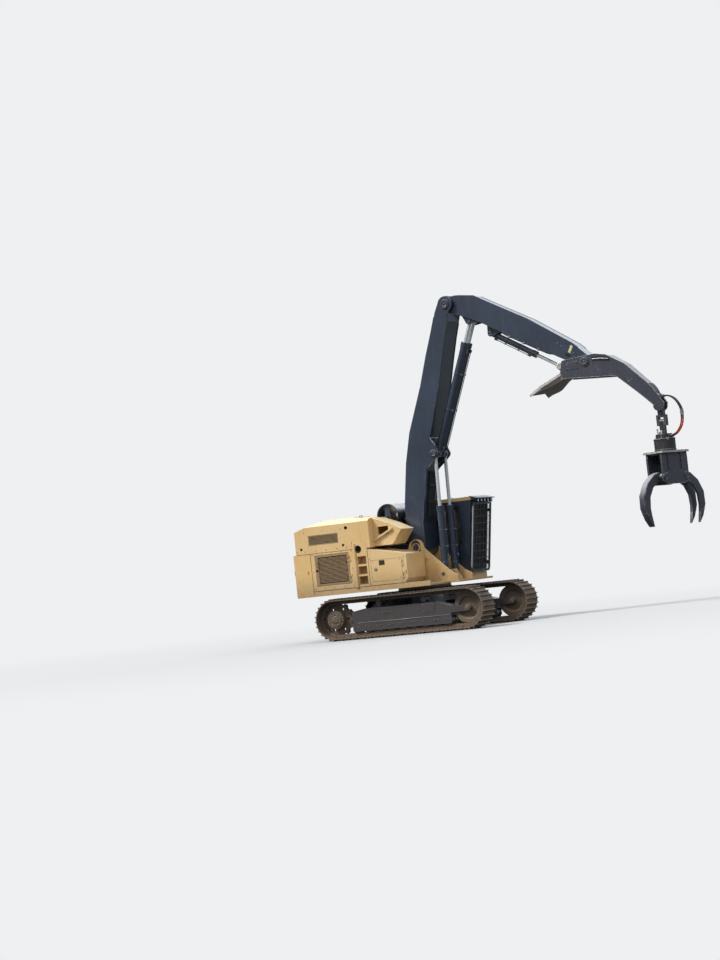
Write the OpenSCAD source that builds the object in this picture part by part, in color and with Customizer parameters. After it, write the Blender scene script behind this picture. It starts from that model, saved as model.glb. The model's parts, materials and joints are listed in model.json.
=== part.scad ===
// Tracked log loader with a live heel boom and a log grapple.
// Millimetres. x runs forward, y to the left, z up; the origin is on the ground under the swing axis.

/* [Tracks] */
// Distance between the centre lines of the two tracks
track_gauge = 2750; // [2600:10:2900]
// Width of a track shoe
shoe_w = 700; // [600:10:760]
// Distance between idler and sprocket centres
tumbler_span = 3800; // [3600:20:4000]
// Radius of the chain's pitch line round the sprocket
pitch_r = 440; // [425:5:455]
// Link pitch aimed at; the real one divides the loop evenly
link_pitch = 216; // [200:2:230]
// Thickness of a shoe plate
shoe_t = 20; // [14:1:26]
// Height of a grouser above its plate
grouser_h = 40; // [25:1:45]
// Height of a link rail
rail_h = 100; // [90:2:110]
// Width of one link rail
rail_w = 45; // [35:1:55]
// Clear width between the two rails
rail_gap = 110; // [100:2:120]
// Radius of a bottom roller's tread
roller_r = 95; // [85:1:100]
// Bottom rollers on each side
roller_n = 9; // [7:1:10]
// Radius of a carrier roller
carrier_r = 75; // [60:1:80]
// Carrier rollers on each side
carrier_n = 2; // [1:1:3]
// Width of the track frame's box
frame_w = 330; // [310:5:360]
// Thickness of the plates that hold the rollers
guard_t = 40; // [30:1:45]

/* [Car body] */
// Height of the car body's underside above the ground
ground_clear = 760; // [720:10:800]
// Outer radius of the swing bearing
ring_r = 720; // [680:10:760]
// Radial width of the swing bearing
ring_w = 150; // [120:10:180]
// Height of the swing bearing
ring_h = 118; // [100:1:125]
// Distance of the legs' middles from the swing axis, along the tracks
leg_x = 820; // [760:10:880]
// Radius of the bore in a tow eye
tow_bore_r = 35; // [25:1:45]

/* [House] */
// Height of the deck's underside
deck_z = 1200; // [1190:5:1230]
// Thickness of the deck plate
deck_t = 50; // [35:5:60]
// Top of the sills that carry the panels
sill_z = 1330; // [1310:5:1350]
// Width over the side panels
house_w = 3100; // [3000:20:3200]
// Radius of the counterweight's tail about the swing axis
tail_r = 3360; // [3320:10:3400]
// Front of the counterweight, behind the swing axis
weight_x = -2470; // [-2500:10:-2440]
// Top of the counterweight and of the side panels
belt_z = 2330; // [2300:10:2350]
// Top of the hood's upright sides
hood_side_z = 3030; // [2980:10:3060]
// Top of the hood
hood_z = 3160; // [3120:10:3200]
// Front wall of the hood
hood_x = -670; // [-690:5:-650]
// Thickness of the hood's sheet and frame
hood_t = 30; // [20:1:40]
// Thickness of side panels and doors
panel_t = 50; // [40:1:60]
// Width of the ladder column
column_w = 420; // [400:5:440]
// Top of the ladder column
column_z = 2530; // [2500:10:2560]

/* [Boom tower] */
// Boom foot pin ahead of the swing axis
foot_x = 100; // [80:5:120]
// Height of the boom foot pin
foot_z = 2200; // [2180:5:2220]
// Clear width between the tower plates
tower_gap = 806; // [802:1:815]
// Thickness of a tower plate
tower_t = 50; // [40:1:55]
// Lower hoist pin ahead of the swing axis
hoist_x = 800; // [780:5:820]
// Height of the lower hoist pin
hoist_z = 1440; // [1430:5:1450]

/* [Cab] */
// Inner side of the cab, next to the boom
cab_y = 520; // [510:5:530]
// Width of the cab
cab_w = 1100; // [1060:10:1120]
// Rear of the cab
cab_rear_x = -450; // [-470:5:-430]
// Underside of the cab
cab_z = 1450; // [1440:5:1460]
// Height of the cab below its roof
cab_h = 1850; // [1800:10:1880]
// Front of the cab's floor
cab_front_x = 1080; // [1060:5:1100]
// Forward lean of the cab's front in degrees
cab_lean = 8; // [6:0.5:9]
// Thickness of the cab's walls
cab_t = 60; // [50:1:65]
// Thickness of the cab roof
roof_t = 90; // [80:2:100]
// Thickness of the panes
pane_t = 12; // [10:1:16]

/* [Boom] */
// Distance from foot pin to knuckle pin
boom_len = 6388; // [6300:4:6460]
// Slope of the line from foot pin to knuckle pin in degrees
boom_angle = 76.05; // [75:0.05:77]
// Width of the boom
boom_w = 770; // [760:1:780]
// Thickness of the boom's plates
boom_t = 24; // [18:1:30]
// Thickness of the boom's side plates at fork and lug
ear_t = 40; // [30:1:45]
// Hoist and stick cylinder pin along the boom from the foot pin
lug_along = 2500; // [2480:5:2520]
// That pin in front of the boom's chord
lug_under = 165; // [150:5:180]

/* [Stick] */
// Distance from knuckle pin to heel pin
stick_len = 4172; // [4100:4:4220]
// Slope of the line from knuckle pin to heel pin in degrees
stick_angle = -28.96; // [-30:0.02:-28]
// Width of the stick
stick_w = 560; // [540:2:580]
// Thickness of the stick's plates
stick_t = 20; // [16:1:24]
// Stick cylinder's upper pin along the stick from the knuckle pin
stick_lug_along = 736; // [720:4:750]
// That pin below the stick's chord
stick_lug_under = 178; // [170:2:186]
// Heel cylinder's upper pin along the stick from the knuckle pin
heel_base_along = 1400; // [1360:10:1440]
// That pin below the stick's chord
heel_base_under = 275; // [265:5:285]

/* [Cylinders] */
// Radius of a hoist cylinder's barrel
hoist_r = 92; // [85:1:95]
// Hoist barrel from its pin to its head
hoist_barrel = 1780; // [1740:10:1820]
// Distance of a hoist cylinder from the machine's middle
hoist_y = 292; // [288:1:294]
// Radius of a stick cylinder's barrel
stick_r = 90; // [80:1:92]
// Stick barrel from its pin to its head
stick_barrel = 2980; // [2900:10:3020]
// Distance of a stick cylinder from the machine's middle
stick_y = 112; // [106:1:114]
// Radius of the heel cylinder's barrel
heel_r = 75; // [65:1:78]
// Heel barrel from its pin to its head
heel_barrel = 1380; // [1340:10:1420]
// Length of stick rod inside its barrel at rest
stick_rod_in = 1000; // [920:10:1200]
// Length of heel rod inside its barrel at rest
heel_rod_in = 520; // [480:10:600]
// Radius of the piston rods
rod_r = 45; // [40:1:48]
// Radius of the large pins
pin_r = 50; // [45:1:55]

/* [Heel] */
// Gooseneck's tip pin ahead of the heel pin
neck_x = 1750; // [1730:5:1770]
// Gooseneck's tip pin below the heel pin
neck_drop = 1350; // [1330:5:1370]
// Width of the gooseneck at its tip
neck_w = 300; // [290:2:320]
// Thickness of the heel's plates
heel_t = 28; // [22:1:30]
// Width over the points of the heel jaw
jaw_w = 1240; // [1180:10:1300]

/* [Grapple] */
// Drop from the gooseneck's pin to the cross pin
link_drop = 410; // [400:5:420]
// Drop from the cross pin to the top of the rotator
rotator_drop = 300; // [290:5:310]
// Radius of the rotator's housing
rotator_r = 265; // [250:5:280]
// Height of the rotator's housing
rotator_h = 430; // [420:5:440]
// Length of the grapple head, the way the tines open
head_len = 1050; // [1000:10:1100]
// Width of the grapple head
head_w = 470; // [450:5:490]
// Height of the grapple head
head_h = 820; // [790:5:850]
// Turn of the grapple about its rotator in degrees
head_turn = 73; // [0:1:90]
// Distance of a tine's pin from the grapple's middle
tine_x = 430; // [420:2:440]
// Thickness of the single tine
tine_w = 170; // [150:2:190]
// Radius of the bore for a tine pin
tine_bore_r = 40; // [36:1:44]

/* [Hidden] */

YELLOW = "#e0b060";
BLACK = "#2e3036";
STEEL = "#6b625a";
MESH = "#8d7452";
CHROME = "#cdd2d6";
RUBBER = "#1c1c1e";

// Clearances: seat between fixed pieces, run between moving ones, fit round a pin
seat = 0.3;
run = 6;
fit = 0.5;

// Track loop
pitch_line = rail_h / 2 + shoe_t + grouser_h;
wheel_z = pitch_line + pitch_r;
loop_len = 2 * tumbler_span + 2 * PI * pitch_r;
shoe_n = round(loop_len / link_pitch);
pitch = loop_len / shoe_n;
tread_r = pitch_r - rail_h / 2 - seat;
chain_half = rail_gap / 2 + rail_w;
roller_z = pitch_line + rail_h / 2 + roller_r + seat;
roller_span = tumbler_span - 1150;
frame_in = track_gauge / 2 - frame_w / 2;
guard_y = frame_w / 2 - guard_t / 2;
frame_low = roller_z + roller_r + 35;
frame_top = wheel_z + pitch_r - rail_h / 2 - 2 * carrier_r - 20;
ring_z = 1010;

// Pins in the plane y = 0, as [x, z]
function polar(o, r, a) = [o[0] + r * cos(a), o[1] + r * sin(a)];
function on_arm(o, a, u, v) = [o[0] + u * cos(a) - v * sin(a), o[1] + u * sin(a) + v * cos(a)];
foot = [foot_x, foot_z];
knuckle = polar(foot, boom_len, boom_angle);
heel = polar(knuckle, stick_len, stick_angle);
neck = [heel[0] + neck_x, heel[1] - neck_drop];
hoist_base = [hoist_x, hoist_z];
boom_lug = on_arm(foot, boom_angle, lug_along, -lug_under);
stick_lug = on_arm(knuckle, stick_angle, stick_lug_along, -stick_lug_under);
heel_base = on_arm(knuckle, stick_angle, heel_base_along, -heel_base_under);
heel_lug_x = -777;
heel_lug_z = -6;
heel_lug = [heel[0] + heel_lug_x, heel[1] + heel_lug_z];
cross_z = neck[1] - link_drop;
rotator_top = cross_z - rotator_drop;
head_top = rotator_top - rotator_h - seat;

// Points and headings along the pitch line, from the rear of the upper run
function loop_at(s) =
    let (a = tumbler_span, b = PI * pitch_r)
    s < a ? [-a / 2 + s, wheel_z + pitch_r, 0] :
    s < a + b ? let (t = (s - a) / b * 180)
        [a / 2 + pitch_r * sin(t), wheel_z + pitch_r * cos(t), -t] :
    s < 2 * a + b ? [a / 2 - (s - a - b), wheel_z - pitch_r, -180] :
    let (t = (s - 2 * a - b) / b * 180)
        [-a / 2 - pitch_r * sin(t), wheel_z - pitch_r * cos(t), -180 - t];
// Point of the link at s: t along it, out from the pitch line
function on_link(s, t, out) =
    let (p = loop_at(s))
    [p[0] + t * cos(p[2]) - out * sin(p[2]), p[1] + t * sin(p[2]) + out * cos(p[2])];
// Double grouser shoe: [share of the pitch along it, share of the grouser's height]
shoe_profile = [[-0.37, 0], [-0.34, 1], [-0.27, 1], [-0.22, 0],
    [0.22, 0], [0.27, 1], [0.34, 1], [0.37, 0]];
shoe_line = [for (i = [0:shoe_n - 1]) for (q = shoe_profile)
    on_link((i + 0.5) * pitch, q[0] * pitch, rail_h / 2 + shoe_t + q[1] * grouser_h)];
// Inner side of a rail: [share of the pitch, share of half the rail's height]
link_profile = [[-0.4, 1], [0.4, 1], [0.5, 0.6]];
rail_line = [for (i = [0:shoe_n - 1]) for (q = link_profile)
    on_link((i + 0.5) * pitch, q[0] * pitch, -q[1] * rail_h / 2)];

// Hose routes as [x, z] from a pin. From the neck pin: gooseneck tip to rotator in two lengths,
// one past each pin of the hanging link. From the foot pin: hood's front wall to the boom's lines
hose_r = 19;
neck_route = [for (q = [[130, 235], [170, 234], [210, 228], [250, 216], [290, 198], [330, 173], [365, 144],
    [400, 108], [430, 68], [458, 23], [482, -25], [503, -75], [519, -125], [530, -175], [530, -225]]) neck + q];
turn_route = [for (q = [[530, -225], [530, -270], [529, -315], [526, -360], [520, -405], [511, -450],
    [498, -495], [481, -540], [459, -582], [432, -622], [401, -660], [366, -696], [329, -725], [290, -746],
    [250, -758]]) neck + q];
neck_hose_y = 60;
foot_route = [for (q = [[-700, 500], [-700, 440], [-700, 380], [-694, 320], [-675, 263], [-644, 212],
    [-601, 173], [-549, 151], [-493, 148], [-438, 161], [-389, 191], [-350, 234], [-322, 287], [-307, 345],
    [-304, 410], [-312, 480], [-322, 550], [-330, 620], [-332, 690], [-328, 760], [-318, 830], [-305, 900],
    [-292, 970], [-279, 1035], [-268, 1096]]) foot + q];
foot_hose_y = 112.5;

// Closed outline through stations [along, upper side, lower side], drawn in by t
function outline(s, t = 0) = concat(
    [for (p = s) [p[0], p[1] - t]],
    [for (i = [len(s) - 1:-1:0]) [s[i][0], s[i][2] + t]]);

// Plate cut from an outline drawn x forward, z up
module plate(w, y = 0) {
    translate([0, y + w / 2, 0]) rotate([90, 0, 0]) linear_extrude(w) children();
}
// Round bar along y
module bar_y(x, z, r, w, y = 0) {
    translate([x, y + w / 2, z]) rotate([90, 0, 0]) cylinder(r = r, h = w, $fn = 48);
}
// Turned piece along y from a profile of [radius, y]
module turned(x, z, profile, y = 0) {
    translate([x, y, z]) rotate([-90, 0, 0]) rotate_extrude($fn = 64) polygon(profile);
}
module both_sides() {
    children();
    mirror([0, 1, 0]) children();
}
// Children drawn along the line from pin p to pin q
module along(p, q) {
    translate([p[0], 0, p[1]]) rotate([0, -atan2(q[1] - p[1], q[0] - p[0]), 0]) children();
}
module at_arm(p, a) {
    translate([p[0], 0, p[1]]) rotate([0, -a, 0]) children();
}
function span(p, q) = norm([q[0] - p[0], q[1] - p[1]]);

// Hose swept along points [x, z] in an upright plane, a ring of n corners at every step-th point
function hose_dir(p, i) =
    let (e = len(p) - 1, s = i == 0 || i == e ? 1 : 2, d = p[min(i + s, e)] - p[max(i - s, 0)]) d / norm(d);
function hose_ring(p, i, r, n) =
    let (d = hose_dir(p, i))
    [for (k = [0:n - 1]) let (s = r * cos(360 / n * k), t = r * sin(360 / n * k))
        [p[i][0] - s * d[1], t, p[i][1] + s * d[0]]];
module hose(p, y, r, step = 2, n = 10) {
    at = [for (i = [0:step:len(p) - 1]) i];
    m = len(at);
    translate([0, y, 0]) polyhedron(
        points = [for (i = at) each hose_ring(p, i, r, n)],
        faces = concat([[for (k = [0:n - 1]) k]], [[for (k = [n - 1:-1:0]) (m - 1) * n + k]],
            [for (j = [0:m - 2], k = [0:n - 1]) [j * n + k, (j + 1) * n + k, (j + 1) * n + (k + 1) % n,
                j * n + (k + 1) % n]]));
}
// Fitting that a hose leaves, from its end point i back along the hose's line by len
module gland(p, i, y, len, r) {
    d = hose_dir(p, i) * (i == 0 ? 1 : -1);
    translate([p[i][0], y, p[i][1]]) rotate([0, atan2(-d[0], -d[1]), 0]) translate([0, 0, seat])
        cylinder(r = r, h = len - seat, $fn = 32);
}

module loop2d(out) {
    r = pitch_r + out;
    for (s = [-1, 1]) translate([s * tumbler_span / 2, wheel_z]) circle(r = r, $fn = 96);
    translate([-tumbler_span / 2, wheel_z - r]) square([tumbler_span, 2 * r]);
}

module track(side) {
    color(STEEL) translate([0, side * track_gauge / 2, 0]) {
        plate(shoe_w) difference() {
            polygon(shoe_line);
            loop2d(rail_h / 2);
        }
        plate(rail_w, side * (rail_gap + rail_w) / 2) difference() {
            loop2d(rail_h / 2 + shoe_t / 2);
            polygon(rail_line);
        }
        plate(rail_w, -side * (rail_gap + rail_w) / 2) difference() {
            loop2d(rail_h / 2 + shoe_t / 2);
            loop2d(-rail_h / 2);
        }
    }
}
module track_left() { track(1); }
module track_right() { track(-1); }

// Front wheels: two treads for the rails and a rim between them
hub_half = frame_w / 2 - guard_t - seat;
idler_profile = [[0, -hub_half], [90, -hub_half], [90, -70], [250, -45], [300, -chain_half],
    [tread_r, -chain_half], [tread_r, -rail_gap / 2 + 8], [tread_r + 42, -rail_gap / 2 + 18],
    [tread_r + 42, rail_gap / 2 - 18], [tread_r, rail_gap / 2 - 8], [tread_r, chain_half],
    [300, chain_half], [250, 45], [90, 70], [90, hub_half], [0, hub_half]];
module idlers() {
    color(STEEL) both_sides() turned(tumbler_span / 2, wheel_z, idler_profile, track_gauge / 2);
}

// Rear wheels: a toothed ring between the rails, with the final drive through it
tooth_n = round(2 * PI * pitch_r / pitch);
tooth_profile = [[-0.36, -48], [-0.16, 6], [0.16, 6], [0.36, -48]];
tooth_line = [for (i = [0:tooth_n - 1]) for (q = tooth_profile)
    let (a = 360 / tooth_n * (i + q[0])) [(pitch_r + q[1]) * cos(a), (pitch_r + q[1]) * sin(a)]];
drive_r = 235;
module sprockets() {
    color(STEEL) both_sides() translate([-tumbler_span / 2, track_gauge / 2, wheel_z]) {
        plate(rail_gap - 24) difference() {
            polygon(tooth_line);
            for (a = [0:60:300]) rotate(a) translate([300, 0]) circle(r = 38, $fn = 32);
        }
        bar_y(0, 0, drive_r, 170, rail_gap / 2 + 70);
        bar_y(0, 0, drive_r - 60, 26, rail_gap / 2 + 167);
        bar_y(0, 0, drive_r, hub_half - rail_gap / 2 + 20, -(hub_half + rail_gap / 2 - 20) / 2);
    }
}

// Rollers, profiles of [radius, y]
roller_profile = [[0, -guard_y], [32, -guard_y], [32, -chain_half - 22], [roller_r + 22, -chain_half - 22],
    [roller_r + 22, -chain_half - 6], [roller_r, -chain_half], [roller_r, -rail_gap / 2],
    [roller_r - 18, -rail_gap / 2 + 12], [roller_r - 18, rail_gap / 2 - 12], [roller_r, rail_gap / 2],
    [roller_r, chain_half], [roller_r + 22, chain_half + 6], [roller_r + 22, chain_half + 22],
    [32, chain_half + 22], [32, guard_y], [0, guard_y]];
carrier_profile = [[0, -chain_half], [carrier_r, -chain_half], [carrier_r, chain_half], [0, chain_half]];
frame_end = tumbler_span / 2 - pitch_r - 30;
frame_side = [[-frame_end, frame_low], [frame_end, frame_low], [frame_end, wheel_z + 90],
    [frame_end - 420, frame_top], [-frame_end + 360, frame_top], [-frame_end, wheel_z + 160]];
guard_side = [[-frame_end, roller_z - 42], [-frame_end + 60, roller_z - 62], [frame_end - 80, roller_z - 62],
    [frame_end, roller_z - 42], [frame_end, frame_low + 60], [-frame_end, frame_low + 60]];
yoke_side = [[frame_end - 260, wheel_z - 95], [tumbler_span / 2 + 40, wheel_z - 75],
    [tumbler_span / 2 + 100, wheel_z], [tumbler_span / 2 + 40, wheel_z + 75], [frame_end - 260, wheel_z + 95]];
drive_side = [[-frame_end + 40, frame_low - 40], [-tumbler_span / 2 - 60, wheel_z - 215],
    [-tumbler_span / 2 - 215, wheel_z - 60], [-tumbler_span / 2 - 215, wheel_z + 60],
    [-tumbler_span / 2 - 60, wheel_z + 215], [-frame_end + 40, wheel_z + 160]];
module track_frame(side) {
    carrier_z = wheel_z + pitch_r - rail_h / 2 - carrier_r - seat;
    color(BLACK) translate([0, side * track_gauge / 2, 0]) {
        plate(frame_w) polygon(frame_side);
        for (s = [-1, 1]) {
            plate(guard_t, s * guard_y) polygon(guard_side);
            plate(guard_t, s * guard_y) polygon(yoke_side);
        }
        plate(guard_t, -side * guard_y) polygon(drive_side);
        for (i = [0:roller_n - 1])
            turned(-roller_span / 2 + i * roller_span / (roller_n - 1), roller_z, roller_profile);
        for (i = [0:carrier_n - 1]) let (x = (i - (carrier_n - 1) / 2) * 1300) {
            turned(x, carrier_z, carrier_profile);
            plate(40, -side * (chain_half + 20)) polygon([[x - 90, frame_top - 30], [x + 90, frame_top - 30],
                [x + 45, carrier_z + 45], [x - 45, carrier_z + 45]]);
        }
    }
}
module track_frame_left() { track_frame(1); }
module track_frame_right() { track_frame(-1); }

// Car body: four legs that arch down to the track frames, under a drum for the bearing
leg_half = 230;
arch_z = 420;
tow_x = ring_r + 150;
tow_z = 880;
tow_t = 60;
module car_body() {
    color(BLACK) difference() {
        union() {
            intersection() {
                translate([0, 0, 300]) linear_extrude(ring_z - 300) {
                    circle(r = ring_r, $fn = 96);
                    for (sx = [-1, 1], sy = [-1, 1]) polygon([[sx * (leg_x + leg_half), sy * frame_in],
                        [sx * (leg_x - leg_half), sy * frame_in], [0, sy * 430], [sx * 690, 0]]);
                }
                rotate([90, 0, 90]) translate([0, 0, -1500]) linear_extrude(3000) polygon([[-frame_in, arch_z],
                    [-frame_in, frame_top - 20], [-780, ring_z], [780, ring_z], [frame_in, frame_top - 20],
                    [frame_in, arch_z], [frame_in - 260, arch_z], [620, ground_clear], [-620, ground_clear],
                    [-frame_in + 260, arch_z]]);
            }
            for (s = [-1, 1]) translate([0, 0, tow_z - tow_t / 2]) linear_extrude(tow_t) {
                polygon([[s * (ring_r - 80), -130], [s * tow_x, -85], [s * tow_x, 85], [s * (ring_r - 80), 130]]);
                translate([s * tow_x, 0]) circle(r = 85, $fn = 64);
            }
        }
        for (s = [-1, 1]) translate([s * tow_x, 0, tow_z - tow_t]) cylinder(r = tow_bore_r, h = 2 * tow_t, $fn = 48);
        translate([0, 0, ground_clear - 10]) cylinder(r = 220, h = 400, $fn = 64);
    }
}
module swing_bearing() {
    color(STEEL) translate([0, 0, ring_z]) difference() {
        cylinder(r = ring_r, h = ring_h, $fn = 96);
        translate([0, 0, -1]) cylinder(r = ring_r - ring_w, h = ring_h + 2, $fn = 96);
    }
}

// Deck, sills and the two boom tower plates
deck_front = 1240;
deck_right = 940;
tower_out = tower_gap / 2 + tower_t;
ear_y = hoist_y - hoist_r - run - 20;
half_w = house_w / 2;
tower_side = [[deck_front - 30, deck_z + deck_t - 1], [deck_front - 30, sill_z + 60], [1000, sill_z + 190],
    [foot_x + 230, foot_z - 40], [foot_x + 150, foot_z + 115], [foot_x - 150, foot_z + 120],
    [foot_x - 260, foot_z - 10], [foot_x - 700, foot_z - 190], [-1600, foot_z - 420],
    [weight_x, foot_z - 520], [weight_x, deck_z + deck_t - 1]];
pocket_t = 31;
module house_frame() {
    color(YELLOW) difference() {
        union() {
            translate([0, 0, deck_z]) linear_extrude(deck_t) polygon([[weight_x, -half_w], [deck_right, -half_w],
                [deck_right, -tower_out], [deck_front, -tower_out], [deck_front, cab_y + cab_w],
                [cab_rear_x - 60, cab_y + cab_w], [cab_rear_x - 60, half_w], [weight_x, half_w]]);
            translate([0, 0, ring_z + ring_h + seat])
                cylinder(r = ring_r - 20, h = deck_z - ring_z - ring_h, $fn = 96);
            // sills along the sides, and the riser under the cab
            translate([weight_x, -half_w, deck_z]) cube([deck_right - weight_x, 90, sill_z - deck_z]);
            translate([weight_x, half_w - 90, deck_z]) cube([cab_rear_x - weight_x, 90, sill_z - deck_z]);
            translate([cab_rear_x, cab_y, deck_z]) cube([60, cab_w, cab_z - deck_z]);
            translate([cab_front_x - 60, cab_y, deck_z]) cube([60, cab_w, cab_z - deck_z]);
            for (y = [cab_y, cab_y + cab_w - 60])
                translate([cab_rear_x, y, deck_z]) cube([cab_front_x - cab_rear_x, 60, cab_z - deck_z]);
            both_sides() plate(tower_t, tower_gap / 2 + tower_t / 2) {
                polygon(tower_side);
                translate(foot) circle(r = 215, $fn = 64);
            }
            // outer plate with an oval pocket for the pin's end
            both_sides() plate(pocket_t, tower_out + pocket_t / 2 - 0.5) translate(foot) difference() {
                union() {
                    circle(r = 205, $fn = 64);
                    polygon([[-203, 20], [-290, -210], [330, -330], [203, 20]]);
                }
                for (z = [-60, 60]) translate([0, z]) circle(r = 135, $fn = 48);
                translate([-134, -60]) square([268, 120]);
            }
            both_sides() bar_y(foot_x, foot_z, 120, tower_t + 24, tower_gap / 2 + tower_t / 2 + 12);
            bar_y(foot_x, foot_z, pin_r, 2 * tower_out);
            // middle ears for the hoist cylinders, and their pins
            both_sides() bar_y(hoist_x, hoist_z, pin_r, tower_gap / 2 - ear_y + 10, (tower_gap / 2 + ear_y) / 2);
            both_sides() plate(40, ear_y) polygon([[hoist_x - 260, deck_z + deck_t - 1],
                [hoist_x + 260, deck_z + deck_t - 1], [hoist_x + 90, hoist_z + 110], [hoist_x - 90, hoist_z + 110]]);
            translate([-900, -tower_gap / 2 - 1, deck_z]) cube([40, tower_gap + 2, 480]);
        }
        translate([0, 0, deck_z - 200]) cylinder(r = 220, h = 400, $fn = 64);
    }
}

// Plan of the tail: everything inside radius r and behind x
module tail_plan(r, x) {
    intersection() {
        circle(r = r, $fn = 128);
        translate([-r - 10, -half_w]) square([r + 10 + x, house_w]);
    }
}
pocket_deep = tail_r + weight_x - 510;
module counterweight() {
    color(YELLOW) difference() {
        translate([0, 0, deck_z]) linear_extrude(belt_z - deck_z - seat) tail_plan(tail_r, weight_x);
        translate([weight_x - pocket_deep, -half_w + 300, deck_z + 330])
            cube([pocket_deep + 20, house_w - 600, belt_z]);
        // lifting eyes' recesses on top
        for (s = [-1, 1]) translate([weight_x - 370, s * (half_w - 300), belt_z - 70])
            cylinder(r = 60, h = 80, $fn = 48);
    }
}
module engine_block() {
    color(STEEL) translate([-2150, -350, deck_z + deck_t]) {
        translate([0, 0, 130]) cube([1080, 700, 760]);
        for (x = [60, 900]) translate([x, 50, 0]) cube([120, 600, 131]);
    }
}

// Hood: [x, z] from the rear; its section is upright sides with chamfers
hood_rear_r = tail_r - 80;
hood_side = [[-hood_rear_r - 20, belt_z], [-hood_rear_r - 20, hood_z - 360], [-2150, hood_z], [-1260, hood_z],
    [hood_x, hood_z - 70], [hood_x, belt_z]];
module hood_solid(t) {
    intersection() {
        translate([-4000, 0, 0]) rotate([90, 0, 90]) linear_extrude(4000 + hood_x - t)
            polygon([[-half_w + t, belt_z - 20], [-half_w + t, hood_side_z - t * 0.6], [-half_w + 250 + t * 0.5, hood_z - t],
                [half_w - 250 - t * 0.5, hood_z - t], [half_w - t, hood_side_z - t * 0.6], [half_w - t, belt_z - 20]]);
        plate(house_w) polygon([for (p = hood_side) [p[0], p[1] - (p[1] > belt_z ? t : 20)]]);
        translate([0, 0, belt_z - 30]) linear_extrude(1500) circle(r = hood_rear_r - t, $fn = 128);
    }
}
// Grilles in the hood's sides [rear x, front x, low z, high z] and rear [y0, y1, z0, z1]
hood_vent = [-2480, -1590, 2540, 2805];
rear_vent = [-900, 900, 2480, 2740];
module vent_cut(v, y, w, grow = 0) {
    translate([v[0] - grow, y, v[2] - grow]) cube([v[1] - v[0] + 2 * grow, w, v[3] - v[2] + 2 * grow]);
}
module engine_hood() {
    // block on the front wall that the boom's hoses leave from
    color(YELLOW) translate([hood_x - 5, -170, foot_route[0][1] + 40]) cube([foot_route[0][0] - hood_x + 45, 340, 90]);
    color(YELLOW) both_sides() gland(foot_route, 0, foot_hose_y, 50, 26);
    color(YELLOW) difference() {
        intersection() {
            hood_solid(0);
            translate([-4000, -2000, belt_z]) cube([4000, 4000, 2000]);
        }
        hood_solid(hood_t);
        both_sides() vent_cut(hood_vent, half_w - 100, 200);
        // room for the ladder column, and the lifting recess
        translate([column_x - 10, -half_w - 1, belt_z - 1]) cube([column_w + 11, 360, column_z - belt_z + 1]);
        translate([-1380, -half_w - 1, 2870]) cube([85, 60, 75]);
        // rear air outlet
        translate([-hood_rear_r - 120, rear_vent[0], rear_vent[2]])
            cube([400, rear_vent[1] - rear_vent[0], rear_vent[3] - rear_vent[2]]);
    }
}
// Slatted grille that fills an opening
module grille(v, y, n) {
    translate([v[0], y, v[2]]) {
        for (z = [0, v[3] - v[2] - 22]) translate([0, 0, z]) cube([v[1] - v[0], 20, 22]);
        for (x = [0, v[1] - v[0] - 22]) translate([x, 0, 0]) cube([22, 20, v[3] - v[2]]);
        for (i = [1:n]) translate([0, 4, i * (v[3] - v[2]) / (n + 1) - 7]) cube([v[1] - v[0], 12, 14]);
    }
}
module hood_grilles() {
    color(MESH) both_sides() grille(hood_vent, half_w - 26, 8);
    color(MESH) translate([-hood_rear_r + 65, 0, 0]) rotate(-90) grille(rear_vent, -8, 8);
}

// Right side: fixed frame round the radiator door
door_x0 = -2350;
door_x1 = -1330;
door_z0 = 1460;
door_z1 = 2275;
column_x = -1200;
// Butt hinge on a face at y = 0, its axis upright outside it; the door lies towards -x
hinge_r = 13;
hinge_h = 60;
module hinge_place(x, y, levels, turn = 0) {
    for (z = levels) translate([x, y, z]) rotate(turn) translate([0, -hinge_r - 1, 0]) children();
}
module hinge_door() {
    translate([0, 0, -hinge_h / 2]) {
        cylinder(r = hinge_r, h = hinge_h, $fn = 32);
        translate([-50, 4, 0]) cube([50, hinge_r - 2, hinge_h]);
    }
}
module hinge_frame() {
    for (s = [-1, 1]) translate([0, 0, s * (hinge_h + seat) - hinge_h / 2]) {
        cylinder(r = hinge_r, h = hinge_h, $fn = 32);
        translate([0, 4, 0]) cube([50, hinge_r - 2, hinge_h]);
    }
}
side_hinges = [door_z0 + 150, door_z1 - 150];
module right_panel() {
    color(YELLOW) hinge_place(door_x1 - run / 2, -half_w, side_hinges) hinge_frame();
    color(YELLOW) difference() {
        translate([weight_x, -half_w, sill_z]) cube([column_x - weight_x, panel_t, belt_z - sill_z]);
        translate([door_x0, -half_w - 1, door_z0]) cube([door_x1 - door_x0, panel_t + 2, door_z1 - door_z0]);
    }
}
module mesh_door(x0, x1, z0, z1, n) {
    gap = run;
    difference() {
        translate([x0 + gap, 0, z0 + gap]) cube([x1 - x0 - 2 * gap, panel_t - 4, z1 - z0 - 2 * gap]);
        translate([x0 + 90, -1, z0 + 60]) cube([x1 - x0 - 150, panel_t, z1 - z0 - 120]);
    }
    for (i = [1:n]) translate([x0 + 85, 12, z0 + 60 + i * (z1 - z0 - 120) / (n + 1) - 8])
        cube([x1 - x0 - 140, 16, 16]);
}
module radiator_door() {
    color(MESH) translate([0, -half_w, 0]) mesh_door(door_x0, door_x1, door_z0, door_z1, 20);
    color(MESH) hinge_place(door_x1 - run / 2, -half_w, side_hinges) hinge_door();
}
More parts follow.
